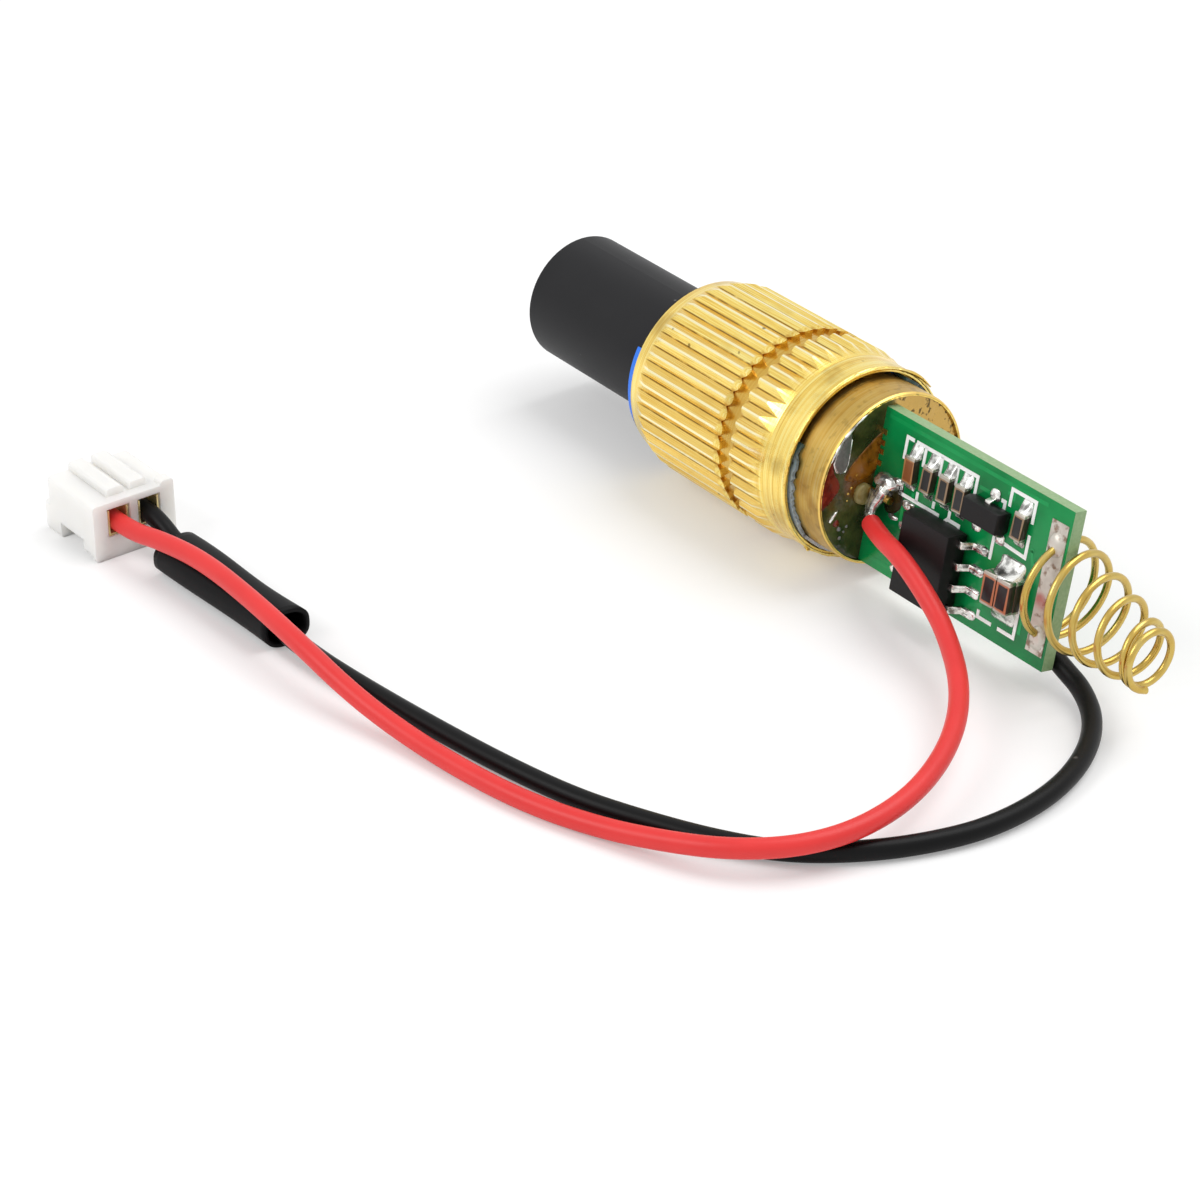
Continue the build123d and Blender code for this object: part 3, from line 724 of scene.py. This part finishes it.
# White print: component outlines screened on the mask
ink_colours = (linear(242, 246, 242), linear(255, 255, 255))
print_white = clouded("print_white", 5200.0, ink_colours, (0.4, 0.6), specular_ior_level=0.4)
print_width = 0.21
print_height = 0.03
row_top = 3.60
row_marks = [2.29, 3.84, 5.19, 6.49, 8.04]
print_paths = [[(row_marks[0], 2.30), (row_marks[0], row_top), (2.85, row_top)]]
print_paths.append([(3.05, row_top), (row_marks[-1], row_top), (row_marks[-1], 2.55)])
for mark in row_marks[1:-1]:
    print_paths.append([(mark, row_top), (mark, 2.45)])
print_paths += [
    [(2.54, 1.0), (2.54, 0.35), (5.64, 0.35), (5.64, 0.02)],
    [(3.84, 0.95), (3.84, 0.38)],
    [(5.19, 0.95), (5.19, 0.55)],
    [(4.75, -0.02), (5.50, -0.02)],
    [(6.02, -0.02), (6.42, 0.42), (7.34, 0.42), (7.34, -0.02)],
    [(6.50, 0.95), (6.50, 0.45)],
    [(10.70, 3.00), (10.70, 4.00), (12.54, 4.00), (12.54, 2.75)],
    [(12.54, 2.10), (12.54, 0.80), (10.06, 0.95), (10.06, -0.35)],
    [(10.04, -3.35), (10.04, -3.75), (11.14, -3.75)],
    [(11.64, -3.75), (12.89, -3.75), (12.89, -1.75)],
    [(10.35, 2.10), (10.35, 3.10), (10.05, 3.10)],
]
print_parts = [loft(board_strip(path, print_width, print_height)) for path in print_paths]
new_piece("board_print", *joined(print_parts), print_white, "board_green", smooth=False)

# Plated half holes along the front edge, where the board was cut from its panel
edge_pads = [loft(board_strip([(0.26, v), (0.64, v)], 0.30, 0.05)) for v in (1.32, 2.0, 2.52, 3.17)]
new_piece("edge_pads", *joined(edge_pads), gold_plate, "plated", smooth=False)

# Solder: bright tin that has flowed round each joint and set with a rippled skin
solder_tin, tree, surface = new_finish("solder_tin", metallic=0.85)
place = object_place(tree)
ripple = cloudy(tree, place, 1900.0)
flux = between(tree, cloudy(tree, place, 1300.0, 4.0), 0.64, 0.76)
bright = mix_colours(tree, between(tree, ripple, 0.34, 0.58), linear(146, 146, 142), linear(252, 252, 248))
paint(tree, surface, product(tree, flux, 0.6), bright, linear(104, 78, 46))
spread_roughness(tree, surface, ripple, 0.10, 0.32)
roughen(tree, surface, ripple, 0.04, 0.7)


def solder_dome(x, v, half_x, half_v, height, seed, square=3.0):
    """A pool of solder on the board: a rounded pad drawn up to a lumpy crown."""
    rows = 7

    def place(row, angle):
        climb = 0.5 * math.pi * row / rows
        reach = (abs(math.cos(angle)) ** square + abs(math.sin(angle)) ** square) ** (-1 / square)
        reach *= math.cos(climb) ** 0.7
        lump = 1 + 0.16 * noise.noise(Vector((seed * 3.7 + math.cos(angle), math.sin(angle), climb)))
        dx = half_x * reach * math.cos(angle) * lump
        dv = half_v * reach * math.sin(angle) * lump
        return board_point(x + dx, v + dv, height * math.sin(climb) * lump + sunk)

    return loft(rings_of(rows, 28, place))


def solder_fillet(x, v, away, half, reach, height, seed):
    """Solder drawn from a part's end down onto its pad: steep at the part, thin at the far edge."""
    rows = 10
    count = 11
    rings = []
    for row in range(rows):
        share = row / (rows - 1)
        place = v + away * reach * share
        top = height * (1 - share) ** 1.9 + 0.11 * (1 - share**5)
        wide = half * (1 - 0.25 * share**6) * (1 + 0.10 * noise.noise(Vector((seed * 1.7, share * 3, 0.0))))
        ring = [board_point(x - wide, place, sunk)]
        for k in range(count):
            across = 2 * k / (count - 1) - 1
            crown = math.sqrt(max(1 - abs(across) ** 3, 0.0))
            lump = 1 + 0.20 * noise.noise(Vector((seed * 2.7 + across, share * 2, 0.5)))
            ring.append(board_point(x + wide * across, place, top * crown * lump))
        ring.append(board_point(x + wide, place, sunk))
        rings.append(ring)
    return loft(rings)


def tin_joint(name, *domes):
    """One solder piece from several pools."""
    return new_piece(name, *joined(list(domes)), solder_tin, "solder")


# Small parts that carry tinned ends: five chip resistors, each wetted at both ends
# The ceramic has a black glass coat on top with brown edges showing round it
chip_resistors = {
    "resistor_1": (3.195, 2.02),
    "resistor_2": (4.654, 2.05),
    "resistor_3": (6.021, 2.05),
    "resistor_4": (7.311, 2.02),
    "resistor_5": (11.919, 2.38),
}


def resistor_finish(name, glaze, edge):
    """Glazed ceramic with a coloured edge and tinned ends, placed by the piece's own box."""
    finish, tree, surface = new_finish(name, specular_ior_level=0.5)
    own = put(tree, "SeparateXYZ", {"Vector": put(tree, "TexCoord").outputs["Generated"]})
    wear = own_clouds(tree, 2600.0)
    across = calc(tree, "ABSOLUTE", calc(tree, "SUBTRACT", own.outputs["X"], 0.5))
    lengthways = calc(tree, "ABSOLUTE", calc(tree, "SUBTRACT", own.outputs["Z"], 0.5))
    shaken = calc(tree, "ADD", lengthways, product(tree, calc(tree, "SUBTRACT", wear, 0.5), 0.06))
    on_top = between(tree, facing(tree, face_dir), 0.6, 0.8)
    inside = below(tree, calc(tree, "MAXIMUM", across, shaken), 0.31, 0.34)
    coated = product(tree, on_top, inside)
    # The faces that do not face out of the board, the sides, are coloured dark
    dark_sides = mix_colours(tree, wear, linear(40, 32, 28), linear(72, 58, 46))
    ceramic = mix_colours(tree, on_top, dark_sides, edge)
    body = mix_colours(tree, coated, ceramic, glaze)
    ends = between(tree, shaken, 0.36, 0.39)
    paint(tree, surface, ends, body, linear(196, 190, 178))
    fill(tree, surface["Metallic"], ends)
    spread_roughness(tree, surface, wear, 0.22, 0.42)
    roughen(tree, surface, wear, 0.01, 0.5)
    return finish


def soften(name, width, steps=2):
    """Rounds a CAD node's sharp edges by a small radius in millimetres."""
    weld = nodes[name].modifiers.new("closed_corners", "WELD")
    weld.merge_threshold = 0.001 * mm
    bevel = nodes[name].modifiers.new("round_edges", "BEVEL")
    bevel.width = width * mm
    bevel.segments = steps
    bevel.limit_method = "ANGLE"
    bevel.angle_limit = math.radians(30)
    nodes[name].modifiers.new("even_normals", "WEIGHTED_NORMAL")


black_glaze = resistor_finish("resistor_black", linear(22, 22, 22), linear(150, 122, 92))
brown_glaze = resistor_finish("resistor_brown", linear(132, 78, 38), linear(172, 122, 74))
for number, (name, (x, v)) in enumerate(chip_resistors.items()):
    coat(brown_glaze if number == 0 else black_glaze, name)
    soften(name, 0.05)
    upper = solder_fillet(x + 0.05, v + 0.72, 1, 0.43, 0.80, 0.34, number + 1)
    lower = solder_fillet(x - 0.02, v - 0.74, -1, 0.40, 0.46, 0.30, number + 11)
    tin_joint(name + "_solder", upper, lower)

# Sense resistors: two stacks of two larger resistors, side by side
# They share one lump of solder at each end
copper_glaze = resistor_finish("resistor_copper", linear(24, 22, 22), linear(186, 112, 78))
for number in range(4):
    name = "sense_resistor_%d" % (number + 1)
    coat(copper_glaze, name)
    soften(name, 0.07)
stack_top = solder_fillet(11.84, -0.52, 1, 1.02, 0.95, 0.86, 21)
stack_foot = solder_fillet(11.84, -2.32, -1, 0.98, 0.95, 0.70, 22)
tin_joint("sense_solder", stack_top, stack_foot)

# Driver chip: black moulded package with a matt top and eight tinned gull-wing leads
# The leads stand on pads along both of its long sides, each in a small pool of solder
moulding_black = grained(
    "moulding_black",
    scales=(9000.0, 500.0),
    colours=(linear(16, 15, 16), linear(27, 25, 26)),
    rough=(0.34, 0.5),
    relief=(0.008, 0.5),
    dust=(1300.0, 0.25, linear(120, 96, 90)),
    specular_ior_level=0.22,
)
coat(moulding_black, "driver_chip", "transistor")
soften("driver_chip", 0.10)
soften("transistor", 0.07)

tinned_lead, tree, surface = new_finish("tinned_lead", metallic=1.0)
place = object_place(tree)
smear = cloudy(tree, place, 2400.0)
stain = between(tree, cloudy(tree, place, 1500.0), 0.58, 0.70)
bright = mix_colours(tree, between(tree, smear, 0.32, 0.60), linear(122, 116, 106), linear(248, 246, 240))
paint(tree, surface, product(tree, stain, 0.5), bright, linear(124, 92, 62))
spread_roughness(tree, surface, smear, 0.12, 0.3)
roughen(tree, surface, smear, 0.02, 0.5)


def seated_lead(name, edge, x, v, half_x, half_v, seed):
    """A tinned lead with rounded edges in its own pool of solder."""
    coat(tinned_lead, name)
    soften(name, edge)
    tin_joint(name + "_solder", solder_dome(x, v, half_x, half_v, 0.22, seed))


chip_x = 6.40
chip_v = -2.00
chip_foot = 3.00
lead_pitch = 1.27
for number in range(8):
    x = chip_x + (chip_foot if number < 4 else -chip_foot)
    v = chip_v + lead_pitch * (number % 4 - 1.5)
    seated_lead("chip_lead_%d" % (number + 1), 0.04, x, v, 0.52, 0.30, 31 + number)

# Transistor: the same black moulding with two leads on one side and one on the other
# It lies at the end of the row of small resistors
transistor_x = 9.592
transistor_v = 2.12
for number, (dx, dv) in enumerate([(-0.95, -1.10), (0.95, -1.10), (0.0, 1.10)]):
    name = "transistor_lead_%d" % (number + 1)
    seated_lead(name, 0.03, transistor_x + dx, transistor_v + dv, 0.36, 0.34, 41 + number)

# Spring pad: a tinned strip across the rear end of the board, with the spring's two holes in it
# Burnt flux has stained it brown, with a red blush between the holes
spring_tin, tree, surface = new_finish("spring_pad_tin", metallic=0.45)
place = object_place(tree)
smear = cloudy(tree, place, 1300.0, 4.0)
pale = mix_colours(tree, smear, linear(172, 164, 150), linear(236, 232, 224))
burnt = between(tree, cloudy(tree, place, 1900.0, 4.0), 0.53, 0.66)
pale = mix_colours(tree, product(tree, burnt, 0.8), pale, linear(122, 84, 52))
blush_centre = board_point(14.30, -0.95) / mm
blush = patch_mask(tree, place, tuple(blush_centre), 0.15, 0.65, 0.9)
paint(tree, surface, product(tree, blush, 0.7), pale, linear(188, 72, 66))
spread_roughness(tree, surface, smear, 0.28, 0.48)
roughen(tree, surface, smear, 0.05, 0.8)
coat(spring_tin, "spring_pad")

# Contact spring: hard brass wire wound as a cone, threaded through the board and soldered there
# Four open turns narrow to a closed tip, and the tip has sagged a little
wire_radius = 0.21
coil_radius = 2.83
tip_radius = 1.62
coil_pitch = 1.74
open_turns = 4
tip_turns = 1.25
tip_pitch = 2 * wire_radius + 0.03
tail_turn = 0.765
tail_back = 2 * wire_radius + 0.12
face_turn = 0.22
hole_x = 14.54
coil_sag = -0.28
tip_sag = Vector((0.0, -0.64, -0.56))
face_gap = 1.19


def coil_place(turns):
    """Centre of the spring wire after so many turns from the board's face."""
    opened = min(max(turns, 0.0), open_turns)
    radius = coil_radius - (coil_radius - tip_radius) * (opened / open_turns) ** 1.2
    run = coil_pitch * opened + tip_pitch * max(turns - open_turns, 0.0)
    if turns < 1:
        run = coil_pitch * max(turns - face_turn, 0.0) / (1 - face_turn)
    if turns < -face_turn:
        run = -tail_back * min(1.0, (-face_turn - turns) / face_turn)
    angle = -2 * math.pi * turns
    sagged = tip_sag * (max(run, 0.0) / (open_turns * coil_pitch) * mm)
    up = coil_sag + radius * math.sin(angle)
    return board_point(hole_x + run, up, radius * math.cos(angle) - face_gap) + sagged


def round_line(name, places, radius, finish, slot, order):
    """A round wire or lead along one smooth line."""
    line = bpy.data.curves.new(name, "CURVE")
    line.dimensions = "3D"
    spline = line.splines.new("NURBS")
    spline.points.add(len(places) - 1)
    for point, place in zip(spline.points, places):
        point.co = (*place, 1.0)
    spline.order_u = order
    spline.use_endpoint_u = True
    spline.resolution_u = 10 if order == 3 else 2
    line.bevel_depth = radius * mm
    line.bevel_resolution = 8 if order == 3 else 5
    line.use_fill_caps = True
    line.materials.append(finish)
    return add_piece(name, line, slot)


spring_brass, tree, surface = new_finish("spring_brass", metallic=1.0)
drawn_metal = brass(tree, scaled(tree, object_place(tree), 900.0), 0.25)
paint(tree, surface, 0.75, drawn_metal["Color"], linear(184, 156, 84))
fill(tree, surface["Roughness"], calc(tree, "ADD", drawn_metal["Roughness"], 0.02))
roughen(tree, surface, drawn_metal["Height"], 0.003, 0.4)
coil_steps = 24 * (open_turns + 2)
coil_total = tail_turn + open_turns + tip_turns
coil_places = [coil_place(coil_total * k / coil_steps - tail_turn) for k in range(coil_steps + 1)]
spring_piece = round_line("wound_spring", coil_places, wire_radius, spring_brass, "spring_brass", 4)
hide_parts("contact_spring")
hole_chord = math.sqrt(coil_radius**2 - (face_gap - board_thick / mm / 2) ** 2)
collars = []
for number, v in enumerate((coil_sag + hole_chord, coil_sag - hole_chord)):
    collars.append(solder_dome(hole_x, v, 0.62, 0.70, 0.30, 51 + number, 2.0))
new_piece("spring_solder", *joined(collars), spring_tin, "solder")

# Solder joints of the leads: a mound on the face for the red one, one behind the board for the black
# The red lead's tinned strands fan out into the mound, which has a tail towards the first resistor
coat(solder_tin, "black_solder")


def set_solder(name, parts, finish, slot, grain):
    """Beads and pools run together into one lump."""
    piece = new_piece(name, *joined(parts), finish, slot)
    melt = piece.modifiers.new("run_together", "REMESH")
    melt.mode = "VOXEL"
    melt.voxel_size = grain * mm
    melt.use_smooth_shade = True
    settle = piece.modifiers.new("settled", "SMOOTH")
    settle.factor = 0.5
    settle.iterations = 6
    return piece


mound_parts = [
    solder_dome(1.45, 0.60, 0.90, 0.48, 0.60, 61, 2.2),
    solder_dome(2.25, 0.92, 0.42, 0.24, 0.26, 62, 2.0),
    solder_dome(1.35, 0.00, 0.55, 0.60, 0.52, 63, 2.0),
]
strand_paths = [
    [(1.75, -1.69, 1.00), (1.28, -1.66, 0.78), (1.10, -0.95, 0.62), (1.35, -0.05, 0.50)],
    [(1.80, -1.45, 1.10), (1.45, -1.35, 0.92), (1.40, -0.70, 0.70), (1.75, 0.25, 0.50)],
    [(1.70, -1.90, 0.92), (1.05, -1.85, 0.62), (0.85, -1.05, 0.44), (1.00, -0.10, 0.36)],
]
for path in strand_paths:
    mound_parts.append(bead([board_point(*place) for place in path], [0.30, 0.27, 0.30, 0.36]))
red_joint = set_solder("red_tinned_joint", mound_parts, solder_tin, "solder", 0.045)
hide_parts("red_solder")

# A dark glossy patch lies on the board beside the joint, with a stray splash of solder
dark_patch_outline = [(2.55, 0.95), (2.80, 0.25), (2.72, -0.54), (2.10, -1.10)]
dark_patch_outline += [(1.50, -0.95), (1.60, -0.10), (1.95, 0.40)]
dark_glossy_patch = set_resin("dark_glossy_patch", linear(22, 24, 10), linear(46, 42, 18))
set_pool("dark_board_patch", dark_patch_outline, 0.03, dark_glossy_patch, "resin", board_point)
tin_joint("solder_splash", solder_dome(2.32, -1.18, 0.40, 0.17, 0.16, 64, 2.0))

# A tear of solder has run down the resin from the rim, and a bright sliver lies below the red patch
dull_solder, tree, surface = new_finish("dull_solder", metallic=0.45, roughness=0.36)
frosted = own_clouds(tree, 5200.0)
paint(tree, surface, frosted, linear(104, 104, 103), linear(146, 146, 143))
roughen(tree, surface, frosted, 0.02, 0.5)
tear_outline = [(-2.98, 9.92), (-3.49, 9.43), (-3.85, 8.87), (-4.14, 8.15), (-3.97, 7.67), (-3.68, 7.42)]
tear_outline += [(-3.33, 7.46), (-3.13, 7.84), (-3.02, 8.48), (-2.91, 9.32)]
set_pool("solder_tear", tear_outline, 0.14, dull_solder, "solder")
sliver_path = [on_resin(*place) for place in [(-4.30, 4.58, 0), (-3.90, 4.95, 0.04), (-3.58, 5.11, 0)]]
rim_path = []
for turns in range(9):
    angle = math.radians(-22 - 5 * turns)
    rim_path.append(axis_point(collar_rear - 0.01 * mm, 4.98 * mm, angle))
rim_radii = [0.03, 0.09, 0.05, 0.10, 0.12, 0.06, 0.10, 0.08, 0.03]
tear_rim = [on_resin(y, z, 0.09) for y, z in tear_outline]
tear_radii = [0.06, 0.09, 0.06, 0.05, 0.07, 0.05, 0.06, 0.04, 0.06, 0.05]
slivers = [bead(sliver_path, [0.13, 0.09, 0.03]), bead(rim_path, rim_radii), bead(tear_rim, tear_radii)]
new_piece("solder_slivers", *joined(slivers), solder_tin, "solder")
grit_places = [(-3.55, 3.90, 0.15), (-3.00, 3.88, 0.10), (-3.50, 3.30, 0.12), (-3.20, 3.60, 0.08)]
grit = [resin_lump(y, z, radius, radius, 12 + k) for k, (y, z, radius) in enumerate(grit_places)]
new_piece("solder_grit", *joined(grit), dull_solder, "solder")


# Leads: stranded copper in soft plastic insulation, red for plus and black for minus
# Both lie loose on the table from the board to the plug
def insulation(name, dark, light, shine):
    return grained(
        name,
        scales=(5200.0, 320.0),
        colours=(dark, light),
        rough=(0.34, 0.48),
        relief=(0.01, 0.4),
        dust=(500.0, 0.12, linear(220, 210, 205)),
        specular_ior_level=shine,
    )


red_plastic = insulation("red_insulation", linear(214, 44, 44), linear(234, 58, 56), 0.4)
black_plastic = insulation("black_insulation", linear(6, 6, 7), linear(11, 11, 12), 0.16)
lead_radius = 0.55


def floor_point(along, across, height):
    """Millimetres behind the board's front end, across the table and over it."""
    return Vector((board_low.x + along * mm, across * mm, height * mm))


red_soldered = [(1.75, -1.69, 1.00), (3.75, -1.57, 2.05), (5.90, -1.56, 2.60)]
red_route = [
    (8.5, -4.5, 4.15),
    (11.1, -5.1, 3.10),
    (15.3, -7.6, 2.50),
    (18.6, -11.1, 2.20),
    (20.9, -15.4, 2.00),
    (21.6, -19.5, 1.85),
    (20.9, -22.9, 1.75),
    (18.8, -25.6, 1.50),
    (15.6, -27.4, 1.00),
    (12.3, -28.9, 0.62),
    (8.4, -30.4, 0.56),
    (3.6, -31.4, 0.58),
    (-1.3, -32.1, 0.85),
    (-4.9, -32.7, 1.60),
    (-8.9, -33.0, 2.50),
    (-13.9, -32.9, 2.80),
    (-19.1, -32.8, 2.75),
    (-22.9, -33.3, 2.50),
    (-25.476, -33.804, 2.10),
    (-27.724, -33.883, 2.10),
]
black_soldered = [(13.50, -3.82, -1.51)]
black_route = [
    (15.36, -0.6, 1.40),
    (17.36, -0.8, 0.92),
    (19.76, -2.2, 0.62),
    (21.96, -5.0, 0.56),
    (23.46, -8.7, 0.56),
    (23.86, -13.0, 0.56),
    (22.96, -16.8, 0.56),
    (21.46, -20.0, 0.56),
    (19.36, -22.8, 0.56),
    (16.46, -24.9, 0.56),
    (13.0, -26.7, 0.56),
    (9.5, -28.2, 0.56),
    (4.6, -29.4, 0.56),
    (-1.3, -30.4, 0.56),
    (-6.4, -31.1, 0.57),
    (-10.1, -31.6, 0.74),
    (-15.5, -31.7, 0.95),
    (-20.5, -31.9, 0.98),
    (-24.1, -31.7, 1.15),
    (-26.095, -31.824, 2.10),
    (-27.794, -31.884, 2.10),
]


def lead(name, soldered, route, finish, slot):
    """A lead from its solder joint to its crimp."""
    places = [board_point(*place) for place in soldered] + [floor_point(*place) for place in route]
    return round_line(name, places, lead_radius, finish, slot, 3), places[0]


red_piece, red_exit = lead("red_insulated_lead", red_soldered, red_route, red_plastic, "red_pvc")
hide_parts("red_lead")
black_piece, black_exit = lead(
    "black_insulated_lead", black_soldered, black_route, black_plastic, "black_pvc"
)
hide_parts("black_lead")

# Heat-shrink: a loose length of black tube on the black lead, never shrunk
# It lies flattened on the table with a crease along its near side and open ends
shrink_start = floor_point(-23.75, -32.05, 0.0)
shrink_end = floor_point(-12.75, -31.45, 0.0)
shrink_wide = 2.90
shrink_high = 2.10
shrink_wall = 0.25
shrink_run = (shrink_end - shrink_start).normalized()
shrink_side = Vector((-shrink_run.y, shrink_run.x, 0))


def shrink_ring(share, inset):
    """One oval ring of the tube at a share of its length, inset by a wall thickness."""
    ring = []
    count = 48
    for k in range(count):
        angle = 2 * math.pi * k / count
        bulge = 1 + 0.05 * math.sin(5.1 * share + 1.0)
        outward = math.copysign(abs(math.cos(angle)) ** 0.85, math.cos(angle))
        across = (shrink_wide / 2 * bulge - inset) * outward
        upward = math.copysign(abs(math.sin(angle)) ** 0.75, math.sin(angle))
        rise = (shrink_high / 2 - inset) * upward
        if rise > 0:
            rise -= 0.20 * math.exp(-(((across + 0.62) / 0.26) ** 2)) * min(1.0, rise / 0.6)
            rise += 0.05 * math.sin(7.0 * share)
        end_cut = 0.10 * math.cos(angle + 0.7) * (1 if share > 0.5 else -1)
        place = shrink_start.lerp(shrink_end, share) + shrink_run * (end_cut * mm * abs(2 * share - 1))
        lifted = Vector((0, 0, max(shrink_high / 2 + rise, 0.02) * mm))
        ring.append(place + shrink_side * (across * mm) + lifted)
    return ring


shrink_shares = [k / 24 for k in range(25)]
outside = [shrink_ring(share, 0.0) for share in shrink_shares]
inside = [shrink_ring(share, shrink_wall) for share in reversed(shrink_shares)]
shrink_black = grained(
    "shrink_black",
    scales=(4200.0, 420.0),
    colours=(linear(8, 8, 9), linear(15, 15, 17)),
    rough=(0.42, 0.58),
    relief=(0.012, 0.4),
    specular_ior_level=0.12,
)
shrink_piece = new_piece("loose_shrink_tube", *loft(outside + inside, "joined"), shrink_black, "shrink_black")
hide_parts("heat_shrink")

# Plug: a two-way housing moulded in milky nylon, with two ribs on top
# Each lead ends inside it in a formed brass crimp terminal
milky_nylon = grained(
    "milky_nylon",
    scales=(5200.0, 340.0),
    colours=(linear(234, 232, 227), linear(241, 239, 235)),
    rough=(0.34, 0.46),
    relief=(0.01, 0.4),
    specular_ior_level=0.45,
    subsurface_weight=0.6,
    subsurface_scale=0.0016,
    subsurface_radius=(1.0, 0.95, 0.85),
)
coat(milky_nylon, "plug_housing")
soften("plug_housing", 0.13, 3)

crimp_brass, tree, surface = new_finish("crimp_brass", metallic=0.6)
sheet_metal = brass(tree, scaled(tree, object_place(tree), 1800.0), 0.5)
paint(tree, surface, 0.65, sheet_metal["Color"], linear(200, 194, 158))
fill(tree, surface["Roughness"], sheet_metal["Roughness"])
coat(crimp_brass, "red_terminal", "black_terminal")
for name in ("red_terminal", "black_terminal"):
    soften(name, 0.03)

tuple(red_exit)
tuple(black_exit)

# Table: a plain white sweep that keeps the soft shadows
table_half = 1.5
table_mesh = bpy.data.meshes.new("table")
table_corners = [(-table_half, -table_half, 0), (table_half, -table_half, 0), (table_half, table_half, 0),
                 (-table_half, table_half, 0)]
table_mesh.from_pydata(table_corners, [], [(0, 1, 2, 3)])
add_object("table", table_mesh)
table_white, tree, surface = new_finish("table_white", roughness=0.9, specular_ior_level=0.0)
surface["Base Color"].default_value = linear(250, 250, 250)
sight = put(tree, "LightPath")
seen = calc(tree, "MAXIMUM", sight.outputs["Is Camera Ray"], sight.outputs["Is Glossy Ray"])
seen = calc(tree, "MAXIMUM", seen, sight.outputs["Is Transmission Ray"])
lit = tree.nodes["Principled BSDF"].outputs[0]
glow = put(tree, "Emission", {"Color": (1.0, 1.0, 1.0, 1.0), "Strength": 1.0}).outputs[0]
blend = put(tree, "MixShader", {0: product(tree, seen, 0.25), 1: lit, 2: glow})
fill(tree, tree.nodes["Material Output"].inputs["Surface"], blend.outputs[0])
table_mesh.materials.append(table_white)

# Studio: white surroundings, one broad lamp overhead and one in front of the board
world = bpy.data.worlds.new("white_studio")
bpy.context.scene.world = world
world.use_nodes = True
tree = world.node_tree
sight = put(tree, "LightPath")
seen = calc(tree, "MAXIMUM", sight.outputs["Is Camera Ray"], sight.outputs["Is Transmission Ray"])
mirrored = product(tree, sight.outputs["Is Glossy Ray"], 0.92)
strength = calc(tree, "MAXIMUM", calc(tree, "MAXIMUM", seen, mirrored), 0.62)
fill(tree, tree.nodes["Background"].inputs["Strength"], strength)
tree.nodes["Background"].inputs["Color"].default_value = (1.0, 1.0, 1.0, 1.0)


def aim(name, content, place, target):
    """A lamp or camera that stands at a place and looks at a target."""
    aimed = add_object(name, content)
    aimed.location = place
    aimed.rotation_mode = "QUATERNION"
    aimed.rotation_quaternion = (Vector(target) - aimed.location).to_track_quat("-Z", "Y")
    return aimed


lit_place = (0, -0.01, 0)


def softbox(name, place, size, power):
    lamp = bpy.data.lights.new(name, "AREA")
    lamp.size = size
    lamp.energy = power
    aim(name, lamp, place, lit_place)


softbox("overhead_softbox", (0.06, 0.20, 0.50), 0.40, 1.5)
softbox("front_softbox", (-0.12, -0.42, 0.36), 0.25, 0.85)

# Camera: long lens, a step away, looking down on the spring end
camera = bpy.data.cameras.new("camera")
camera.lens = 105.0
camera.sensor_width = 36.0
camera.clip_start = 0.01
camera.clip_end = 10.0
camera_place = Vector((132.93, -114.16, 97.75)) * mm
view_target = Vector((-23.60, 0.0, -14.65)) * mm
bpy.context.scene.camera = aim("camera", camera, camera_place, view_target)
bpy.context.scene.view_settings.view_transform = "Standard"
